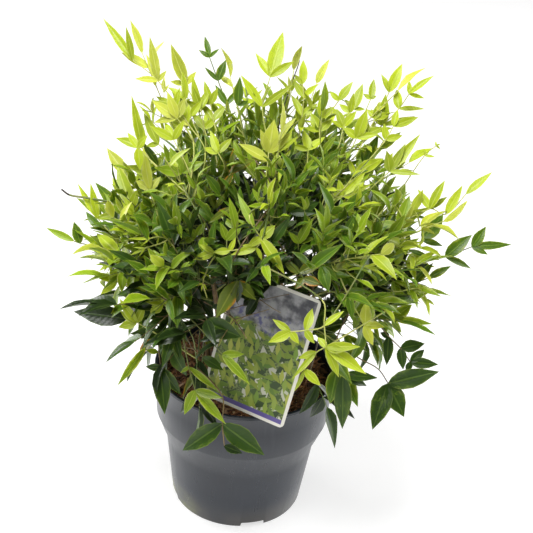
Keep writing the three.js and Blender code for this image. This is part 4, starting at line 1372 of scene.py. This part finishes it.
def seen_at(points):
    """Where points are seen from the eye, as cells across and up, and how far off they are."""
    rays = np.asarray(points) - EYE
    far = -rays @ TOWARDS
    scale = VIEW["far"] / far / VIEW["cell"]
    cells = np.stack([rays @ LEVEL * scale, rays @ UPRIGHT * scale], 1).astype(int) + VIEW["cells"] // 2
    return np.clip(cells, 0, VIEW["cells"] - 1), far


class Crown:
    """What has grown so far: the leaflets and stalks, and the cells of space that they fill.

    kept_clear holds, cell by cell as seen from the front, how far off the leaves and the card are
    that nothing may grow in front of.
    """

    def __init__(self, canes, card):
        self.canes, self.card = canes, card
        self.kept_clear = np.zeros((VIEW["cells"], VIEW["cells"]))
        self.low = np.array([v / MM for v in cad_box[0]]) - ROOM["margin"]
        self.high = np.array([v / MM for v in cad_box[1]]) + ROOM["margin"]
        shape = np.ceil((self.high - self.low) / CELL).astype(int) + 2
        self.filled = np.zeros(shape, bool)
        self.leaves = []
        self.stalks = []

    def cells(self, points):
        return tuple(((np.asarray(points) - self.low) / CELL).astype(int).T)

    def allows(self, points, beyond=ROOM["spray"]):
        """Whether points are in reach, and clear of the pot, the label and the canes."""
        points = np.asarray(points)
        inset = ROOM["margin"] - beyond
        if (points < self.low + inset).any() or (points > self.high - inset).any():
            return False
        radius = np.hypot(points[:, 0], points[:, 1])
        at_rim = (points[:, 2] < POT["height"] + RIM_MARGIN) & (radius < POT["rim_radius"] + RIM_MARGIN)
        if at_rim.any() or touches_label(points, self.card).any():
            return False
        clear = CANES["foot_radius"] + LIMB_MARGIN
        return all((distance_to_line(points, cane["line"]) > clear).all() for cane in self.canes)

    def crowding(self, points):
        return self.filled[self.cells(points)].mean()

    def keep_clear(self, points):
        cells, far = seen_at(points)
        for cell, distance in zip(cells, far):
            here = self.kept_clear[tuple(cell)]
            self.kept_clear[tuple(cell)] = max(here, distance)

    def hides(self, points):
        """The share of points that would stand well in front of what is kept clear."""
        cells, far = seen_at(points)
        well = 4
        return (far < self.kept_clear[cells[:, 0], cells[:, 1]] - well).mean()

    def fill(self, points):
        self.filled[self.cells(points)] = True


def blade_points(base, along, normal, length, width):
    """Points spread over a leaflet, past its root, to test its space with."""
    across = np.cross(along, normal)
    rows = []
    for s in (0.25, 0.4, 0.55, 0.7, 0.85, 1.0):
        middle = base + along * length * s
        half = width / 2 * blade_outline(min(s, 0.98))
        rows += [middle, middle + across * half, middle - across * half]
    return np.array(rows)


def leaflet(joint, way, size, fold, arch, twist, draw, tone, tier):
    """A leaflet from a joint. way is its direction and its face's, and size its length and width."""
    return {
        "base": joint - way[0] * LEAFLET["sunk"], "along": way[0], "normal": way[1],
        "length": size[0], "width": size[1], "fold": math.radians(fold), "arch": math.radians(arch),
        "twist": math.radians(spread(draw, twist)), "phase": draw(), "tone": draw(), "colour": tone,
        "tier": tier,
    }


def varied(draw, middle, amount):
    return middle + spread(draw, amount)


def add_leaflet(crown, spray, joint, way, size, tone, draw):
    """Sets a leaflet at a joint, at the least crowded of a few turns, or leaves it out."""
    tier, kind = spray["tier"], GROWN_LEAFLET
    if draw() > spray["kept"]:
        return 0
    best, least = None, MOST["crowded"]
    for k in range(SPRAY["tries"]):
        scale = size * (1 - LEAFLET["smaller"] * k) * (1 + spread(draw, LEAFLET["size_spread"]))
        length = tier["leaf"] * scale
        width = length * tier["slim"] * (1 + spread(draw, LEAFLET["slim_spread"]))
        loose = LEAFLET["loose"] + LEAFLET["looser"] * k
        along = unit(way + UP * (0.6 * tier["lean"] + spread(draw, loose)) + random_direction(draw) * loose)
        outwards = unit((joint - HEART) * np.array([1, 1, 0.3]))
        face = UP + 0.45 * outwards + 0.55 * random_direction(draw)
        normal = unit(face - along * face.dot(along))
        points = blade_points(joint, along, normal, length, width)
        if not crown.allows(points) or crown.hides(points) > MOST["hiding"]:
            continue
        crowded = crown.crowding(points)
        if crowded < least:
            least = crowded
            fold, arch = varied(draw, *kind["fold"]), varied(draw, *kind["arch"])
            best = points, leaflet(joint, (along, normal), (length, width), fold, arch, kind["twist"],
                                   draw, tone, tier["name"])
        if crowded == 0:
            break
    if best is None:
        return 0
    crown.fill(best[0])
    crown.leaves.append(best[1])
    return 1


def pick_tone(value, draw, turned=0.025):
    if value < 3.2 and draw() < turned:
        return "olive"
    return TONE_ORDER[int(np.clip(round(value), 0, len(TONE_ORDER) - 1))]


def add_twig(crown, spray, joint, axis_way, way, face, pairs, size, value, draw):
    """A side twig that carries pairs of leaflets and one at its tip."""
    tier = spray["tier"]
    for k in range(SPRAY["tries"]):
        length = size * (TWIG["spacing"] * pairs * (1 - TWIG["shorter"] * k) + TWIG["beyond"])
        length *= 1 + spread(draw, 0.15)
        start = unit(way + random_direction(draw) * (0.12 + 0.1 * k))
        end = unit(start + 0.35 * axis_way + UP * (0.5 * tier["lean"] + spread(draw, 0.15 + 0.1 * k)))
        curve = Bend(joint, joint + start * 0.5 * length, joint + (0.5 * start + 0.5 * end) * length)
        points = curve.points(6)
        if not crown.allows(points[2:]):
            continue
        before = len(crown.leaves)
        tone = pick_tone(value + spread(draw, 0.35), draw)
        tip_way = curve.tangent(1)
        placed = add_leaflet(crown, spray, points[-1], tip_way, size, tone, draw)
        for pair in range(pairs):
            share = 0.87 * (pair + 1) / pairs
            place, along = curve.point(share), curve.tangent(share)
            turned = turned_about(face, along, spread(draw, 28))
            for hand in (1, -1):
                leaf_way = turned_about(along, turned, hand * (LEAFLET["angle"] + spread(draw, 10)))
                leaf_size = size * (0.86 + 0.05 * pair)
                placed += add_leaflet(crown, spray, place, leaf_way, leaf_size, tone, draw)
        if placed:
            radii = np.linspace(TWIG["radius"], TWIG["tip_radius"], len(points))
            crown.stalks.append({"points": points, "radii": radii, "sides": 5, "value": value,
                                 "tier": tier["name"]})
            crown.fill(points[2:])
            return
        del crown.leaves[before:]


def swollen_stalk(curve, last, joints, foot, tip):
    """A stalk's points and radii, with a small swelling at each joint."""
    plain = np.linspace(0, last, 14)
    close = {t + off for t in joints for off in (-0.012, 0, 0.012)}
    rings = sorted(set(plain) | {t for t in close if 0 < t < last})
    radii = []
    for t in rings:
        nearest = min(abs(t - joint) for joint in joints)
        radii.append(lerp(foot, tip, t / last) * (1 + 0.45 * math.exp(-(nearest / 0.006) ** 2)))
    return np.array([curve.point(t) for t in rings]), np.array(radii)


def height_share(point, lowest):
    return float(np.clip((point[2] - YOUTH_AND_SIDE_LIGHT["up_from"]) / YOUTH_AND_SIDE_LIGHT["up_over"], lowest, 1))


def side_share(point):
    aside = abs(point[0] - YOUTH_AND_SIDE_LIGHT["middle"])
    return float(np.clip((aside - YOUTH_AND_SIDE_LIGHT["aside_from"]) / YOUTH_AND_SIDE_LIGHT["aside_over"], 0, 1))


def grow(crown, spray, index):
    """A spray: its axis, then twigs in pairs, then leaflets in pairs and one at the tip."""
    draw = seeded(SEED + 101 * (index + 1))
    curve, tier, length = spray["curve"], spray["tier"], spray["length"]
    last = spray["grown"] - LEAFLET["tip_overhang"] * tier["leaf"] / length
    count = len(tier["pairs"])
    joints = [lerp(tier["first"], last - 0.06, k / (count - 1)) for k in range(count)]
    points, radii = swollen_stalk(curve, last, joints, SPRAY["stalk_radius"], SPRAY["tip_radius"])
    # A spray's tone, from its tier and its shift, is partly its leaves' age and partly painted shade and
    # light: darker in the crown's heart and front middle, paler at its left and right.
    own_tone = tier["tone"] + spread(draw, 0.55) + spray["shift"]
    crown.stalks.append({"points": points, "radii": radii, "sides": 7, "value": own_tone - 0.5,
                         "tier": tier["name"]})
    first_roll = spread(draw, SPRAY["first_roll"])
    tip_tone = pick_tone(own_tone + YOUTH_AND_SIDE_LIGHT["tip"] + height_share(curve.end, -1), draw)
    add_leaflet(crown, spray, curve.point(last), curve.tangent(last), 1.05, tip_tone, draw)
    for k in reversed(range(count)):
        t = joints[k]
        joint, along = curve.point(t), curve.tangent(t)
        level = unit(np.cross(along, UP))
        side = turned_about(level, along, first_roll + k * SPRAY["roll"] + spread(draw, 12))
        face = np.cross(side, along)
        face = unit((face if face[2] > 0 else -face) + 0.5 * UP)
        value = own_tone + YOUTH_AND_SIDE_LIGHT["along"] * (t - YOUTH_AND_SIDE_LIGHT["along_from"])
        value += YOUTH_AND_SIDE_LIGHT["up"] * height_share(joint, -1.1)
        # Painted light: leaflets towards the crown's left and right, as seen from the front, are made paler,
        # as where the side lamps fall.
        value += YOUTH_AND_SIDE_LIGHT["aside"] * side_share(joint)
        for hand in (1, -1):
            if t > OPENING["from"] and draw() < OPENING["left_out"]:
                continue
            turn = math.radians(TWIG["angle"] + spread(draw, 10))
            way = along * math.cos(turn) + side * hand * math.sin(turn)
            if tier["pairs"][k]:
                size = (1.04 - 0.06 * k) * (1 + spread(draw, 0.08))
                add_twig(crown, spray, joint, along, way, face, tier["pairs"][k], size, value, draw)
            else:
                add_leaflet(crown, spray, joint, way, 0.9, pick_tone(value + spread(draw, 0.3), draw), draw)


def smooth_line(points, steps):
    """A curve that passes through every point, in steps from each to the next."""
    points = np.asarray(points)
    ways = np.gradient(points, axis=0)
    ways = ways / np.linalg.norm(ways, axis=1)[:, None]
    line = []
    for k in range(len(points) - 1):
        start, end = points[k], points[k + 1]
        size = np.linalg.norm(end - start)
        for t in np.arange(steps) / steps:
            line.append((1 + 2 * t) * (1 - t) ** 2 * start + t * (1 - t) ** 2 * size * ways[k]
                        + t * t * (3 - 2 * t) * end - t * t * (1 - t) * size * ways[k + 1])
    return np.array(line + [points[-1]])


def seen_way(turn):
    """The direction that is seen from the front as a turn, anticlockwise from the right."""
    return LEVEL * math.cos(math.radians(turn)) + UPRIGHT * math.sin(math.radians(turn))


def shoot_root(crown, limbs, foot, way):
    """The place on the sprays' stalks from which a shoot comes to its foot most directly."""
    choices = []
    for limb in limbs:
        for point in limb:
            reach = foot - point
            distance = np.linalg.norm(reach)
            if SHOOT["nearest"] < distance < SHOOT["farthest"]:
                choices.append((distance + SHOOT["turn_cost"] * (1 - unit(reach).dot(way)), tuple(point)))
    for _, point in sorted(choices)[:SHOOT["roots"]]:
        root = np.array(point)
        if crown.allows(np.linspace(root, foot, 12)[1:]):
            return root
    return None


def grow_shoot(crown, name, shoot, limbs, look, draw):
    """A single shoot: a stalk from a spray to the shoot's foot, and on through its parts."""
    foot = np.array(shoot["foot"], float)
    root = shoot_root(crown, limbs, foot, seen_way(shoot["parts"][0][0]))
    if root is None:
        print("no root for", name)
        return
    joints = [root, foot]
    for turn, length, _ in shoot["parts"]:
        wander = TOWARDS * spread(draw, SHOOT["wander"] * length)
        joints.append(joints[-1] + seen_way(turn) * length + wander)
    steps = SHOOT["steps"]
    points = smooth_line(joints, steps)
    radii = shoot["thick"] * np.linspace(SHOOT["radius"], SHOOT["tip_radius"], len(points))
    value = shoot["tone"]
    end = len(points) - 1
    dead = steps * (1 + shoot["alive"]) if look == "dead" else end
    stretches = (
        (0, steps, SHOOT["foot_darker"], "living"), (steps, dead, SHOOT["darker"], "living"),
        (dead, end, SHOOT["darker"], look),
    )
    for first, last, darker, part_look in stretches:
        if last > first:
            part = slice(first, last + 1)
            crown.stalks.append({"points": points[part], "radii": radii[part], "sides": 6,
                                 "value": value - darker, "tier": "shoot", "look": part_look})
    crown.fill(points[steps:])
    for joint, (_, _, leaves) in zip(joints[2:], shoot["parts"]):
        tone = "olive" if look == "turned" else pick_tone(value + spread(draw, 0.3), draw, turned=0)
        for turn, length, slim in leaves:
            grow_seen_leaflet(crown, joint, turn, length, slim, tone, draw)


def grow_seen_leaflet(crown, joint, turn, length, slim, tone, draw):
    """A leaflet that faces the front, more or less."""
    kind = SHOOT_LEAFLET
    for k in range(kind["tries"]):
        depth = spread(draw, kind["depth"] + kind["deeper"] * k)
        along = unit(seen_way(turn) + TOWARDS * depth)
        length = length * (1 if k < 5 else 0.93)
        fold, arch = varied(draw, *kind["fold"]), varied(draw, *kind["arch"])
        full = length * 1.03 * math.hypot(1, depth)
        width = length * slim * (0.95 if slim < 0.3 else 1.04)
        face = TOWARDS + 0.25 * UP + 0.32 * random_direction(draw)
        normal = unit(face - along * face.dot(along))
        points = blade_points(joint, along, normal, full, width)
        if crown.allows(points, beyond=ROOM["shoot"]):
            crown.fill(points)
            crown.keep_clear(points)
            crown.leaves.append(leaflet(joint, (along, normal), (full, width), fold, arch, kind["twist"],
                                        draw, tone, "shoot"))
            return


def grow_shoots(crown, sprays):
    limbs = [spray["curve"].points(40)[8:32] for spray in sprays]
    looks = {"living": SHOOTS, "turned": TURNED_SHOOTS, "dead": DEAD_STALKS}
    for order, (look, shoots) in enumerate(looks.items()):
        for k, (name, one) in enumerate(shoots.items()):
            grow_shoot(crown, name, one, limbs, look, seeded(SEED + 7919 * (order + 1) + 13 * k))


def keep_card_clear(crown):
    """Leaves the card in view from the front, all but its upper left corner."""
    card, step = crown.card, 2.0
    corner = {"aside": 50, "height": 95}
    for aside in np.arange(step, LABEL["width"] - 1, step):
        for height in np.arange(step, LABEL["height"] - 1, step):
            if aside < corner["aside"] or height < corner["height"]:
                point = card["corner"] - card["right"] * aside + card["tall"] * height
                crown.keep_clear([point])


STALK_LOOKS = {
    "young_stalks": ((166, 174, 78), (192, 192, 108)),
    "green_stalks": ((84, 106, 38), (122, 126, 58)),
    "brown_stalks": ((92, 74, 44), (128, 108, 62)),
    "dead_stalks": ((34, 27, 22), (74, 60, 42)),
}


def stalk_look(stalk):
    value = stalk["value"]
    if stalk.get("look") == "dead":
        return "dead_stalks"
    if value > 2.8:
        return "young_stalks"
    return "green_stalks" if value > 0.8 else "brown_stalks"


def make_foliage(canes, card):
    crown = Crown(canes, card)
    sprays = make_sprays(canes, card)
    grow_shoots(crown, sprays)
    keep_card_clear(crown)
    for index, spray in enumerate(sprays):
        grow(crown, spray, index)
    nodes = {tier["name"]: [s["node"] for s in sprays if s["tier"] is tier] for tier in TIERS}
    nodes["shoot"] = []
    finishes = {tone: leaf_finish(tone) for tone in LEAF_TONES}
    stalk_finishes = {name: stalk_finish(name, *look) for name, look in STALK_LOOKS.items()}
    for tier in nodes:
        for tone in LEAF_TONES:
            leaves = [leaf for leaf in crown.leaves if leaf["tier"] == tier and leaf["colour"] == tone]
            if leaves:
                leaflet_piece(f"{tier}_leaves_{tone}", leaves, finishes[tone], TONE_SLOT[tone])
        stand_in = nodes[tier]
        for look in STALK_LOOKS:
            stalks = [s for s in crown.stalks if s["tier"] == tier and stalk_look(s) == look]
            if not stalks:
                continue
            tubes = [tube_of(s["points"], s["radii"], s["sides"]) for s in stalks]
            piece = joined_tubes(f"{tier}_{look}", tubes)
            slot_name = "leaf_fresh" if look in ("young_stalks", "green_stalks") else "cane_bark"
            settle(piece, stalk_finishes[look], slot_name, *stand_in)
            stand_in = []


# ---- The whole plant ----

add_camera()
add_lights()
add_floor()
make_pot()
make_mix()
make_bark()
label_place = label_frame()
make_label(label_place)
plant_canes = make_canes()
dress_canes(plant_canes)
make_foliage(plant_canes, label_place)
